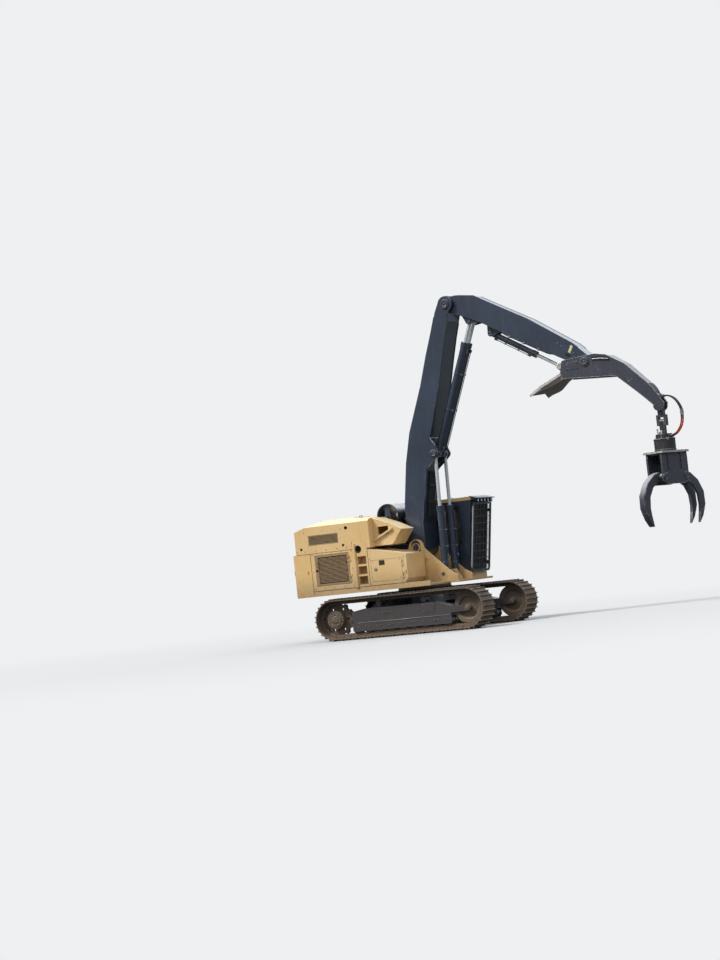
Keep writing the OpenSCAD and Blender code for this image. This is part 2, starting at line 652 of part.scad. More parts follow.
// Left side: a long panel with a service door
left_x0 = -1700;
left_x1 = -780;
module left_panel() {
    color(YELLOW) hinge_place(left_x0 + run / 2, half_w, side_hinges, 180) hinge_frame();
    color(YELLOW) difference() {
        translate([weight_x, half_w - panel_t, sill_z]) cube([hood_x - weight_x, panel_t, belt_z - sill_z]);
        translate([left_x0, half_w - panel_t - 1, door_z0]) cube([left_x1 - left_x0, panel_t + 2, door_z1 - door_z0]);
        for (i = [0:8]) translate([-2380, half_w - panel_t - 1, 1560 + i * 70]) cube([520, panel_t + 2, 26]);
    }
}
module service_door() {
    color(YELLOW) hinge_place(left_x0 + run / 2, half_w, side_hinges, 180) hinge_door();
    color(YELLOW) translate([0, half_w, 0]) mirror([0, 1, 0]) difference() {
        translate([left_x0 + run, 0, door_z0 + run])
            cube([left_x1 - left_x0 - 2 * run, panel_t - 4, door_z1 - door_z0 - 2 * run]);
        for (i = [0:7]) translate([left_x0 + 180, -1, door_z0 + 380 + i * 48]) cube([560, panel_t, 20]);
    }
}
module bulkhead() {
    color(BLACK) difference() {
        translate([hood_x - 30, box_y1 + seat, deck_z + deck_t])
            cube([30, half_w - panel_t - box_y1 - 2 * seat, belt_z - deck_z - deck_t - seat]);
        both_sides() translate([hood_x - 40, tower_gap / 2 - 2, 0]) cube([60, tower_t + 4, foot_z - 100]);
        translate([hood_x - 40, -250, deck_z + 450]) cube([60, 500, 220]);
        translate([hood_x - 40, half_w - 90 - seat, deck_z]) cube([60, 100, sill_z - deck_z + seat]);
    }
}
// Ladder column with steps let into it and a round port near its top
post_r = 50;
module ladder_column() {
    x0 = column_x + seat;
    color(YELLOW) difference() {
        union() {
            translate([x0, -half_w, sill_z]) cube([column_w, 349, column_z - sill_z - seat]);
            translate([x0 + post_r, -half_w + 5, sill_z]) cylinder(r = post_r, h = column_z - sill_z - 60, $fn = 48);
        }
        for (z = [1420, 1680, 1940]) translate([x0 + 120, -half_w - 60, z]) cube([column_w - 170, 260, 190]);
        bar_y(-1040, 2320, 78, 300, -half_w);
        translate([x0 + 30, -half_w + 230, sill_z + 60]) cube([column_w - 60, 200, column_z - sill_z - 120]);
    }
}
// Cowl ahead of the hood, right of the boom
cowl_y0 = -half_w + 240;
cowl_y1 = -tower_out - 120;
cowl_side = [[hood_x, belt_z + 20], [hood_x, hood_z - 75], [-210, 2905], [155, 2720], [-140, belt_z + 20]];
// Brace along the cowl's side, from the hood's front wall
brace_side = [[hood_x + seat, 2465], [-100, 2733], [-100, 2783], [hood_x + seat, 2515]];
module front_cowl() {
    color(YELLOW) plate(60, cowl_y0 - 29) polygon(brace_side);
    color(YELLOW) difference() {
        plate(cowl_y1 - cowl_y0, (cowl_y0 + cowl_y1) / 2) polygon(cowl_side);
        plate(cowl_y1 - cowl_y0 - 2 * hood_t, (cowl_y0 + cowl_y1) / 2) polygon([[hood_x + 20, belt_z + 40],
            [hood_x + 20, hood_z - 115], [-215, 2865], [110, 2700], [-155, belt_z + 40]]);
        translate([-520, cowl_y0 - 1, 2640]) cube([300, hood_t + 2, 200]);
    }
}
// Box on the right deck, its lid falling away to the front
box_x0 = -770;
box_x1 = 330;
box_y1 = -tower_out - 60;
box_top = 2300;
box_fall = 230;
box_door_x0 = -710;
box_door_x1 = 190;
box_door_z0 = 1430;
box_door_z1 = 1990;
box_hinges = [box_door_z0 + 120, box_door_z1 - 120];
module deck_box() {
    color(YELLOW) hinge_place(box_door_x1 - run / 2, -half_w, box_hinges) hinge_frame();
    color(YELLOW) difference() {
        plate(box_y1 + half_w, (box_y1 - half_w) / 2) polygon([[box_x0, sill_z], [box_x1 - 120, sill_z],
            [box_x1, sill_z + 120], [box_x1, box_top - box_fall], [box_x0, box_top]]);
        plate(box_y1 + half_w - 2 * panel_t, (box_y1 - half_w) / 2) polygon([[box_x0 + panel_t, sill_z + 50],
            [box_x1 - 140, sill_z + 50], [box_x1 - panel_t, sill_z + 140],
            [box_x1 - panel_t, box_top - box_fall - panel_t], [box_x0 + panel_t, box_top - panel_t]]);
        translate([box_door_x0, -half_w - 1, box_door_z0])
            cube([box_door_x1 - box_door_x0, panel_t + 2, box_door_z1 - box_door_z0]);
    }
}
module deck_box_door() {
    color(YELLOW) hinge_place(box_door_x1 - run / 2, -half_w, box_hinges) hinge_door();
    color(YELLOW) difference() {
        translate([box_door_x0 + run, -half_w, box_door_z0 + run])
            cube([box_door_x1 - box_door_x0 - 2 * run, panel_t - 4, box_door_z1 - box_door_z0 - 2 * run]);
        translate([-470, -half_w - 1, 1840]) cube([165, 30, 130]);
    }
}
// Arched guard over the hoses behind the boom foot, standing on the hood's front edge
arch_x = -560;
arch_c = 3120;
arch_r = 300;
arch_y = [-600, 480];
hood_fall = [[-1260, hood_z + seat], [hood_x, hood_z - 70 + seat]];
module hose_guard() {
    w = arch_y[1] - arch_y[0];
    mid = (arch_y[0] + arch_y[1]) / 2;
    color(BLACK) {
        difference() {
            bar_y(arch_x, arch_c, arch_r, w, mid);
            bar_y(arch_x, arch_c, arch_r - 16, w + 10, mid);
            plate(w + 10, mid) polygon([hood_fall[0], hood_fall[1], [hood_x, arch_c - 110], [0, arch_c - 110],
                [0, 2500], [-1260, 2500]]);
        }
        for (y = [arch_y[0] + 60, arch_y[1] - 60]) plate(30, y) difference() {
            polygon([[hood_x + seat, 2700], [hood_x + seat, hood_z - 80], [arch_x - 60, arch_c + arch_r - 8],
                [arch_x + 60, arch_c + arch_r - 8], [arch_x + 60, 2960]]);
            translate([arch_x, 3060]) circle(r = 45, $fn = 48);
        }
    }
}

// Cab: side outline drawn from the rear, leaning front
lean = tan(cab_lean);
cab_top = cab_z + cab_h;
cab_mid = cab_y + cab_w / 2;
function cab_front(z) = cab_front_x + (z - cab_z) * lean;
module cab_outline(t, front = 0) {
    polygon([[cab_rear_x + t, cab_z + t], [cab_front(cab_z + t) - front, cab_z + t],
        [cab_front(cab_top) - front, cab_top], [cab_rear_x + t, cab_top]]);
}
door_rear = -150;
door_front = 880;
door_low = cab_z + 90;
door_high = cab_top - 110;
// Window openings: right side [x0, x1, z0, z1], rear [y0, y1, z0, z1]
right_win = [-250, 960, 2180, 3180];
rear_win = [cab_y + 180, cab_y + cab_w - 180, 2350, 3150];
front_low = cab_z + 200;
cab_hinges = [door_low + 200, door_high - 200];
module cab_shell() {
    color(BLACK) hinge_place(door_rear + run / 2, cab_y + cab_w, cab_hinges, 180) hinge_frame();
    color(BLACK) difference() {
        plate(cab_w, cab_mid) cab_outline(0);
        plate(cab_w - 2 * cab_t, cab_mid) cab_outline(cab_t, cab_t);
        translate([cab_rear_x + cab_t, cab_y + cab_t, cab_top - 10])
            cube([cab_front(cab_top) - cab_rear_x - 2 * cab_t, cab_w - 2 * cab_t, 20]);
        translate([right_win[0], cab_y - 1, right_win[2]])
            cube([right_win[1] - right_win[0], cab_t + 2, right_win[3] - right_win[2]]);
        translate([cab_rear_x - 1, rear_win[0], rear_win[2]])
            cube([cab_t + 2, rear_win[1] - rear_win[0], rear_win[3] - rear_win[2]]);
        translate([door_rear, cab_y + cab_w - cab_t - 1, door_low])
            cube([door_front - door_rear, cab_t + 2, door_high - door_low]);
        translate([cab_front(cab_z) - 300, cab_y + cab_t + 20, front_low])
            cube([900, cab_w - 2 * cab_t - 40, cab_top - 100 - front_low]);
    }
}
module cab_roof() {
    color(YELLOW) translate([0, cab_mid, cab_top]) {
        plate(cab_w + 40) polygon([[cab_rear_x - 20, 0], [cab_front(cab_top) + 10, 0],
            [cab_front(cab_top) + 20, roof_t - 20], [cab_front(cab_top) - 30, roof_t], [cab_rear_x + 60, roof_t],
            [cab_rear_x - 20, roof_t - 60]]);
    }
}
// Visor over the windscreen with its row of lamp housings
module lamp_visor() {
    color(BLACK) translate([0, cab_mid, cab_top]) {
        plate(cab_w + 20) polygon([[cab_front(cab_top) - 30, roof_t + seat], [cab_front(cab_top) + 21, roof_t - 20],
            [cab_front(cab_top) + 21, roof_t - 60], [cab_front(cab_top) + 210, roof_t - 70],
            [cab_front(cab_top) + 210, roof_t - 52], [cab_front(cab_top) + 40, roof_t - 2],
            [cab_front(cab_top) - 30, roof_t + 16]]);
        for (i = [-2:2]) translate([cab_front(cab_top) + 95, i * 210, roof_t - 115]) rotate([0, 90, 0])
            cylinder(r = 55, h = 70, $fn = 48);
        for (i = [-2:2]) translate([cab_front(cab_top) + 110, i * 210 - 12, roof_t - 75]) cube([40, 24, 25]);
    }
}
module cab_glass() {
    color("#5b7076") {
        translate([right_win[0], cab_y + cab_t - pane_t - 4, right_win[2]])
            cube([right_win[1] - right_win[0], pane_t, right_win[3] - right_win[2]]);
        translate([cab_rear_x + cab_t - pane_t - 4, rear_win[0], rear_win[2]])
            cube([pane_t, rear_win[1] - rear_win[0], rear_win[3] - rear_win[2]]);
        plate(cab_w - 2 * cab_t - 40, cab_mid) polygon([[cab_front(front_low) - 40, front_low],
            [cab_front(front_low) - 40 + pane_t, front_low], [cab_front(cab_top - 100) - 40 + pane_t, cab_top - 100],
            [cab_front(cab_top - 100) - 40, cab_top - 100]]);
    }
}
door_pane = [door_rear + 90, door_low + 640, door_front - door_rear - 180, door_high - door_low - 730];
module door_glass() {
    color("#5b7076") translate([door_pane[0] + seat, cab_y + cab_w - 22 - pane_t, door_pane[1] + seat])
        cube([door_pane[2] - 2 * seat, pane_t, door_pane[3] - 2 * seat]);
}
module cab_door() {
    color(BLACK) hinge_place(door_rear + run / 2, cab_y + cab_w, cab_hinges, 180) hinge_door();
    color(BLACK) translate([0, cab_y + cab_w, 0]) mirror([0, 1, 0]) {
        difference() {
            translate([door_rear + run, 0, door_low + run])
                cube([door_front - door_rear - 2 * run, cab_t - 4, door_high - door_low - 2 * run]);
            translate([door_pane[0], -1, door_pane[1]]) cube([door_pane[2], cab_t, door_pane[3]]);
        }
        translate([door_front - 110, -34, door_low + 500]) cube([20, 35, 160]);
    }
}
// Guard over the windscreen: frame with rounded lower corners, flat bars both ways
guard_gap = 70;
guard_w = cab_w + 20;
guard_h = (cab_h - 40) / cos(cab_lean);
module front_guard() {
    color(BLACK) translate([cab_front_x, cab_mid, cab_z]) rotate([0, cab_lean, 0]) translate([0, 0, -30]) {
        translate([guard_gap, -guard_w / 2, 0]) rotate([90, 0, 90]) linear_extrude(36) difference() {
            rounded_low(guard_w, guard_h, 110);
            translate([60, 60]) rounded_low(guard_w - 120, guard_h - 110, 60);
        }
        for (i = [1:4]) translate([guard_gap + 8, -guard_w / 2 + i * guard_w / 5 - 8, 50]) cube([20, 16, guard_h - 90]);
        for (i = [1:9]) translate([guard_gap + 10, -guard_w / 2 + 50, i * guard_h / 10 - 6]) cube([16, guard_w - 100, 12]);
        for (y = [-guard_w / 2 + 30, guard_w / 2 - 70], z = [180, guard_h - 260])
            translate([seat, y, z]) cube([guard_gap, 40, 90]);
    }
}
// Upright rectangle from the origin with its two lower corners rounded
module rounded_low(w, h, r) {
    translate([0, r]) square([w, h - r]);
    translate([r, 0]) square([w - 2 * r, h / 2]);
    for (x = [r, w - r]) translate([x, r]) circle(r = r, $fn = 48);
}
module seat() {
    color("#26282c") translate([250, cab_mid, cab_z + cab_t]) {
        translate([-200, -200, 0]) cube([400, 400, 320]);
        translate([-270, -260, 320]) cube([540, 520, 130]);
        translate([-330, -250, 380]) rotate([0, -8, 0]) cube([120, 500, 700]);
    }
}

// Boom: stations [along from the foot pin, back side, belly side]
foot_r = 245;
knuckle_r = 200;
boom_stations = [[0, foot_r, -foot_r], [700, 425, -85], [1100, 497, -45], [2150, 592, 15], [2950, 592, 5],
    [4200, 425, -75], [boom_len - 1388, 367, -72], [boom_len - 788, 300, -83], [boom_len - 240, 255, -115],
    [boom_len, knuckle_r, -knuckle_r]];
boom_box = [[300, 330, -172], [700, 425, -85], [1100, 497, -45], [2150, 592, 15], [2950, 592, 5],
    [4200, 425, -75], [boom_len - 1388, 367, -72], [boom_len - 788, 300, -83], [boom_len - 470, 272, -101]];
fork_back = 430;
lug_t = 26;
lug_mid = stick_y + stick_r + run + lug_t / 2;
line_rise = atan2(592 - 497, 2150 - 1100);
line_v = 497 - 100 * tan(line_rise) + 34;
module main_boom() {
    inner = boom_w - 2 * ear_t;
    color(BLACK) both_sides() gland(foot_route, len(foot_route) - 1, foot_hose_y, 45, 26);
    color(BLACK) at_arm(foot, boom_angle) {
        difference() {
            union() {
                plate(boom_w) {
                    polygon(outline(boom_stations));
                    circle(r = foot_r, $fn = 64);
                    translate([boom_len, 0]) circle(r = knuckle_r, $fn = 64);
                    polygon([[lug_along - 480, 30], [lug_along - 110, -lug_under - 80],
                        [lug_along + 110, -lug_under - 80], [lug_along + 420, 30]]);
                    translate([lug_along, -lug_under]) circle(r = 125, $fn = 64);
                }
                // doubler plates at the foot, and pin bosses
                plate(boom_w + 24) polygon([[150, 150], [900, 430], [1330, 360], [950, 60], [150, -150]]);
                bar_y(0, 0, 175, boom_w + 24);
                bar_y(boom_len, 0, 120, boom_w + 50);
                bar_y(lug_along, -lug_under, 95, boom_w + 40);
            }
            plate(inner) polygon(outline(boom_box, boom_t));
            // fork for the stick, and the room between the lug plates
            plate(inner) polygon([[boom_len - fork_back, 400], [boom_len + 400, 400], [boom_len + 400, -400],
                [boom_len - fork_back, -400]]);
            plate(inner) polygon([[lug_along - 520, 5], [lug_along + 460, 0], [lug_along + 460, -500],
                [lug_along - 520, -500]]);
            bar_y(0, 0, pin_r + fit, boom_w + 100);
        }
        bar_y(boom_len, 0, pin_r, boom_w + 50);
        // inner lug plates between hoist and stick cylinders, and the stick cylinders' pin
        both_sides() plate(lug_t, lug_mid) {
            polygon([[lug_along - 360, 15], [lug_along - 100, -lug_under - 70], [lug_along + 100, -lug_under - 70],
                [lug_along + 330, 12]]);
            translate([lug_along, -lug_under]) circle(r = 105, $fn = 64);
        }
        bar_y(lug_along, -lug_under, pin_r, 2 * lug_mid + lug_t);
        // clamped lines up the back
        for (y = [-1, 1] * foot_hose_y) translate([1000, y, line_v]) rotate([0, 90 - line_rise, 0])
            cylinder(r = 18, h = 1240, $fn = 32);
        for (y = [-37.5, 37.5]) translate([1140, y, line_v + 140 * tan(line_rise)]) rotate([0, 90 - line_rise, 0])
            cylinder(r = 18, h = 1090, $fn = 32);
        for (u = [1130, 1620, 2110]) translate([u, -160, line_v + (u - 1000) * tan(line_rise) - 60]) cube([60, 320, 84]);
    }
}

// Hydraulic cylinder along x from its lower pin: barrel with eye and head
module barrel(r, len, eye_w) {
    rotate([0, 90, 0]) translate([0, 0, pin_r + 10]) cylinder(r = r, h = len - pin_r - 10, $fn = 64);
    rotate([0, 90, 0]) translate([0, 0, len - 130]) cylinder(r = r + 12, h = 130, $fn = 64);
    difference() {
        bar_y(0, 0, r + 5, eye_w);
        bar_y(0, 0, pin_r + fit, eye_w + 10);
    }
}
// Hollow for the rod in a barrel
module rod_bore(len, deep) {
    translate([len - deep, 0, 0]) rotate([0, 90, 0]) cylinder(r = rod_r + fit, h = deep + 10, $fn = 64);
}
// Rod from depth inside the barrel to its eye at x = len
module rod(r, start, len, eye_w) {
    translate([start, 0, 0]) rotate([0, 90, 0]) cylinder(r = rod_r, h = len - start - pin_r - 5, $fn = 64);
    bar_y(len, 0, r, eye_w);
}
// Rod eyes carry their own stub pins between the lug plates
module hoist_barrels() {
    color(BLACK) along(hoist_base, boom_lug) both_sides() translate([0, hoist_y, 0]) difference() {
        barrel(hoist_r, hoist_barrel, 100);
        rod_bore(hoist_barrel, hoist_barrel - 200);
    }
}
module hoist_rods() {
    len = span(hoist_base, boom_lug);
    lug_in = lug_mid + lug_t / 2 + seat;
    lug_out = boom_w / 2 - ear_t - seat;
    color(CHROME) along(hoist_base, boom_lug) both_sides() {
        translate([0, hoist_y, 0]) rod(80, hoist_barrel - 260, len, 84);
        bar_y(len, 0, pin_r, lug_out - lug_in, (lug_out + lug_in) / 2);
    }
}
module stick_barrels() {
    color(BLACK) along(boom_lug, stick_lug) both_sides() translate([0, stick_y, 0]) difference() {
        barrel(stick_r, stick_barrel, 130);
        rod_bore(stick_barrel, stick_barrel - 300);
    }
}
module stick_rods() {
    len = span(boom_lug, stick_lug);
    color(CHROME) along(boom_lug, stick_lug) {
        both_sides() translate([0, stick_y, 0]) rod(80, stick_barrel - stick_rod_in, len, 110);
        bar_y(len, 0, pin_r, stick_slot - 2 * seat);
    }
}

// Stick: stations [along from the knuckle pin, top side, belly side]
stick_rear_r = 215;
heel_r_pin = 170;
stick_stations = [[0, stick_rear_r, -stick_rear_r], [250, 330, -175], [640, 468, -120], [1005, 458, -100],
    [2288, 440, -135], [stick_len - 497, 302, -158], [stick_len, heel_r_pin, -heel_r_pin]];
stick_box = [[300, 340, -165], [640, 468, -120], [1005, 458, -100], [2288, 440, -135],
    [stick_len - 497, 302, -158], [stick_len - 260, 239, -164]];
// Roof of the slot in which the stick rods' eyes stand
slot_roof = -60;
// Plate on each side of a lug, rounded about its pin at [u, v], its root on the belly
module lug(u, v, r, rear, front, root) {
    polygon([[u - rear, root], [u - r * 0.8, v - r * 0.6], [u + r * 0.8, v - r * 0.6], [u + front, root]]);
    translate([u, v]) circle(r = r, $fn = 64);
}
stick_slot = 2 * stick_y + 140;
heel_slot = 2 * heel_r + 14;
module stick_arm() {
    inner = stick_w - 2 * stick_t;
    color(BLACK) at_arm(knuckle, stick_angle) {
        difference() {
            union() {
                plate(stick_w) {
                    polygon(outline(stick_stations));
                    circle(r = stick_rear_r, $fn = 64);
                    translate([stick_len, 0]) circle(r = heel_r_pin, $fn = 64);
                }
                plate(stick_slot + 80) lug(stick_lug_along, -stick_lug_under, 100, 300, 290, -90);
                plate(heel_slot + 80) lug(heel_base_along, -heel_base_under, 85, 180, 300, -100);
                bar_y(0, 0, 170, boom_w - 2 * ear_t - 2 * run);
            }
            plate(inner) polygon(outline(stick_box, stick_t));
            plate(stick_slot) polygon([[stick_lug_along - 400, -stick_rear_r - 30], [stick_lug_along + 400, -500],
                [stick_lug_along + 400, -170], [stick_lug_along + 110, slot_roof], [stick_lug_along - 255, slot_roof],
                [stick_lug_along - 400, -140]]);
            plate(heel_slot) polygon([[heel_base_along - 190, -500], [heel_base_along + 330, -500],
                [heel_base_along + 330, -145], [heel_base_along - 190, -140]]);
            bar_y(0, 0, pin_r + fit, boom_w);
        }
        bar_y(stick_len, 0, pin_r, heel_out);
        bar_y(heel_base_along, -heel_base_under, pin_r, heel_slot + 20);
    }
}
module heel_barrel() {
    color(BLACK) along(heel_base, heel_lug) difference() {
        barrel(heel_r, heel_barrel, 120);
        rod_bore(heel_barrel, heel_barrel - 200);
    }
}
module heel_rod() {
    len = span(heel_base, heel_lug);
    color(CHROME) along(heel_base, heel_lug) {
        rod(75, heel_barrel - heel_rod_in, len, 110);
        bar_y(len, 0, pin_r, heel_fork - 2 * seat);
    }
}

// Heel arm and gooseneck: [ahead of the heel pin, above it]
neck_side = [[-620, 90], [-300, 120], [278, 150], [560, 90], [997, -193], [1571, -787], [neck_x + 150, -neck_drop + 60],
    [neck_x + 20, -neck_drop - 120], [1299, -975], [763, -465], [171, -418], [-622, -358], [-690, -200]];
cheek_y = stick_w / 2 + run + heel_t / 2;
heel_out = 2 * cheek_y + heel_t;
heel_fork = 136;
neck_fork = 192;
module heel_arm() {
    color(STEEL) both_sides() gland(neck_route, 0, neck_hose_y, 60, 26);
    color(STEEL) translate([heel[0], 0, heel[1]]) {
        difference() {
            union() {
                intersection() {
                    plate(heel_out) {
                        polygon(neck_side);
                        translate([neck_x, -neck_drop]) circle(r = 130, $fn = 64);
                        circle(r = 165, $fn = 64);
                    }
                    translate([0, 0, -2000]) linear_extrude(3000) polygon([[-800, -heel_out / 2], [420, -heel_out / 2],
                        [1000, -neck_w * 0.72], [neck_x + 300, -neck_w / 2], [neck_x + 300, neck_w / 2],
                        [1000, neck_w * 0.72], [420, heel_out / 2], [-800, heel_out / 2]]);
                }
                both_sides() bar_y(0, 0, 110, heel_t + 30, cheek_y + 14);
            }
            // room for the stick's end, the hollow of the neck and the fork at its tip
            plate(stick_w + 2 * run) {
                circle(r = heel_r_pin + 25, $fn = 64);
                polygon([[-900, -240], [60, -210], [200, 60], [100, 400], [-900, 400]]);
            }
            plate(neck_w * 0.5) polygon([[360, 40], [520, 20], [940, -260], [1450, -800], [1250, -880], [760, -400], [360, -360]]);
            plate(neck_fork) polygon([[neck_x - 160, -neck_drop + 190], [neck_x + 300, -neck_drop + 190],
                [neck_x + 300, -neck_drop - 300], [neck_x - 160, -neck_drop - 300]]);
            bar_y(0, 0, pin_r + fit, heel_out + 100);
        }
        bar_y(neck_x, -neck_drop, pin_r, neck_w);
        // block that the rotator's hoses leave from
        translate([neck_x - 50, -100, -neck_drop + 196]) cube([140, 200, 80]);
        // lug for the heel cylinder at the rear
        both_sides() plate(27, heel_fork / 2 + 13.5) {
            polygon([[-688, -199], [heel_lug_x - 78, heel_lug_z - 34], [heel_lug_x + 60, heel_lug_z + 60],
                [-480, -235], [-500, -280], [-666, -250]]);
            translate([heel_lug_x, heel_lug_z]) circle(r = 85, $fn = 64);
        }
    }
}
// Jaw: two points behind the heel, a wedge in side view
jaw_back = 1470;
jaw_drop = 690;
jaw_root = [neck_side[11] + seat * [-0.92, -0.4], neck_side[12] + seat * [-0.92, -0.4]];
module heel_jaw() {
    color(STEEL) translate([heel[0], 0, heel[1]]) intersection() {
        translate([0, 0, -1500]) linear_extrude(2000) polygon([[-600, -heel_out / 2 + 20], [-700, -heel_out / 2 + 20],
            [-1130, -jaw_w / 2], [-jaw_back, -jaw_w / 2 + 40], [-1290, 0], [-jaw_back, jaw_w / 2 - 40],
            [-1130, jaw_w / 2], [-700, heel_out / 2 - 20], [-600, heel_out / 2 - 20]]);
        plate(jaw_w) polygon([jaw_root[0], jaw_root[1], [-1000, -400], [-jaw_back, -jaw_drop + 20],
            [-jaw_back, -jaw_drop - 10], [-1000, -560]]);
    }
}

// Hoses, each a plain tube along its route
module neck_hose_left() { color(RUBBER) hose(neck_route, neck_hose_y, hose_r); }
module neck_hose_right() { color(RUBBER) hose(neck_route, -neck_hose_y, hose_r); }
module turn_hose_left() { color(RUBBER) hose(turn_route, neck_hose_y, hose_r); }
module turn_hose_right() { color(RUBBER) hose(turn_route, -neck_hose_y, hose_r); }
module foot_hose_left() { color(RUBBER) hose(foot_route, foot_hose_y, hose_r, 1); }
module foot_hose_right() { color(RUBBER) hose(foot_route, -foot_hose_y, hose_r, 1); }

// Hanging link, rotator and grapple
module upper_link() {
    color(STEEL) translate([neck[0], 0, neck[1]]) {
        difference() {
            union() {
                bar_y(0, 0, 95, neck_fork - 2 * run);
                translate([-70, -90, -link_drop + 130]) cube([140, 180, link_drop - 130]);
            }
            bar_y(0, 0, pin_r + fit, 300);
        }
        for (s = [-1, 1]) translate([s * 95 - 25, -90, -link_drop - 90]) cube([50, 180, 230]);
        translate([-120, -90, -link_drop + 120]) cube([240, 180, 60]);
        translate([-120, 0, -link_drop]) rotate([0, 90, 0]) cylinder(r = pin_r, h = 240, $fn = 48);
    }
}
module rotator() {
    color(STEEL) both_sides() gland(turn_route, len(turn_route) - 1, neck_hose_y, 80, 26);
    color(STEEL) translate([neck[0], 0, cross_z]) {
        difference() {
            union() {
                rotate([0, 90, 0]) translate([0, 0, -62]) cylinder(r = 80, h = 124, $fn = 48);
                translate([-62, -80, -rotator_drop]) cube([124, 160, rotator_drop]);
            }
            rotate([0, 90, 0]) translate([0, 0, -100]) cylinder(r = pin_r + fit, h = 200, $fn = 48);
        }
        translate([0, 0, -rotator_drop - rotator_h]) {
            cylinder(r = rotator_r, h = rotator_h - 110, $fn = 64);
            cylinder(r = rotator_r - 60, h = rotator_h, $fn = 64);
        }
        for (a = [30:60:330]) rotate(a) translate([rotator_r - 95, 0, -rotator_drop - 112]) cylinder(r = 45, h = 60, $fn = 32);
    }
}
// Head of the grapple, x' the way it opens; z from its top plate
tine_z = -640;
head_side = [[-head_len / 2 + 20, -1], [head_len / 2 - 20, -1], [head_len / 2, -160], [tine_x + 90, tine_z - 90],
    [tine_x - 60, -head_h], [-tine_x + 60, -head_h], [-tine_x - 90, tine_z - 90], [-head_len / 2, -160]];
module at_head() {
    translate([neck[0], 0, head_top]) rotate(head_turn) children();
}
module grapple_head() {
    color(STEEL) at_head() {
        translate([-head_len / 2 - 20, -head_w / 2 - 60, -50]) cube([head_len + 40, head_w + 120, 50]);
        difference() {
            plate(head_w) polygon(head_side);
            plate(head_w - 80) polygon([[-head_len, -80], [head_len, -80], [head_len, -head_h - 10], [-head_len, -head_h - 10]]);
        }
        // pins for the tines, and cross tubes that tie the side plates
        for (s = [-1, 1]) bar_y(s * tine_x, tine_z, tine_bore_r - fit, head_w + 20);
        bar_y(0, -200, 90, head_w - 60);
        bar_y(0, tine_z, 60, head_w - 60);
    }
}
// Tine outline from its pin: a hook that bows out and comes back in
tine_points = [[-95, 60], [40, 125], [250, 75], [540, -120], [735, -420], [745, -740], [610, -1020], [455, -1195],
    [505, -1000], [540, -740], [505, -470], [350, -240], [95, -105], [-60, -85]];
module tine_blade(w, y = 0) {
    plate(w, y) {
        polygon(tine_points);
        circle(r = 105, $fn = 48);
    }
}
module single_tine() {
    color(STEEL) at_head() translate([-tine_x, 0, tine_z]) mirror([1, 0, 0]) difference() {
        union() {
            tine_blade(tine_w);
            bar_y(0, 0, 85, head_w - 80 - 2 * run);
        }
        bar_y(0, 0, tine_bore_r, head_w);
    }
}
module tine_pair() {
    color(STEEL) at_head() translate([tine_x, 0, tine_z]) difference() {
        union() {
            for (s = [-1, 1]) tine_blade(70, s * 130);
            bar_y(0, 0, 85, head_w - 80 - 2 * run);
            bar_y(430, -120, 60, 270);
        }
        bar_y(0, 0, tine_bore_r, head_w);
    }
}

car_body();
track_frame_left();
track_frame_right();
track_left();
track_right();
idlers();
sprockets();
swing_bearing();
house_frame();
counterweight();
engine_block();
engine_hood();
hood_grilles();
right_panel();
radiator_door();
left_panel();
service_door();
bulkhead();
ladder_column();
front_cowl();
deck_box();
deck_box_door();
hose_guard();
cab_shell();
cab_roof();
lamp_visor();
cab_glass();
front_guard();
cab_door();
door_glass();
seat();
main_boom();
hoist_barrels();
hoist_rods();
stick_barrels();
stick_rods();
stick_arm();
heel_barrel();
heel_rod();
heel_arm();
heel_jaw();
upper_link();
rotator();
grapple_head();
single_tine();
tine_pair();
neck_hose_left();
neck_hose_right();
turn_hose_left();
turn_hose_right();
foot_hose_left();
foot_hose_right();
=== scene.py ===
import bpy
import bmesh
import json
import math
from mathutils import Matrix, Vector


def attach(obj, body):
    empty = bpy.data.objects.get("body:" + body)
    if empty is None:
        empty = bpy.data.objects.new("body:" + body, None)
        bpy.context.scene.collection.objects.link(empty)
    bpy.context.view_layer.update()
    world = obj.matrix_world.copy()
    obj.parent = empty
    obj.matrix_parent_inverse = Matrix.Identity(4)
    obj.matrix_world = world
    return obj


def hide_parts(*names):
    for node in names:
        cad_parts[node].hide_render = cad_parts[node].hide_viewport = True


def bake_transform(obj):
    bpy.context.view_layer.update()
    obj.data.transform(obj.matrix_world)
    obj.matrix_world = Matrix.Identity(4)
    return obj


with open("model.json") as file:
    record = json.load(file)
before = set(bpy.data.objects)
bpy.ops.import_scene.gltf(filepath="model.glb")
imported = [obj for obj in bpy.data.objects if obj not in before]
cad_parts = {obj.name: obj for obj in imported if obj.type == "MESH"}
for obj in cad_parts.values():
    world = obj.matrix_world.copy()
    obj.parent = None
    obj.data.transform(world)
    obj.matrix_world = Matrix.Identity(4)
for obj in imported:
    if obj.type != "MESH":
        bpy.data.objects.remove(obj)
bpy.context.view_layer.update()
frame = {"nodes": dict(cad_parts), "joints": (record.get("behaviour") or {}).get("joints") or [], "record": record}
nodes = frame["nodes"]
pinAt = {j["name"]: Vector(j["pos_m"]) for j in frame["joints"] if "pos_m" in j}
axisX, axisY, axisZ = Vector((1, 0, 0)), Vector((0, 1, 0)), Vector((0, 0, 1))
bothSides = (-1, 1)
print("frame loaded:", len(nodes), "nodes")

shot = {"yaw": 28.0, "elevation": -2.5, "roll": 6.15, "pixelsPerMetre": 38.0, "distance": 55.0,
        "aimPixel": (424, 547), "aimPoint": (0.1, 0.0, 2.2), "picture": (720, 960), "sensor": 36.0}


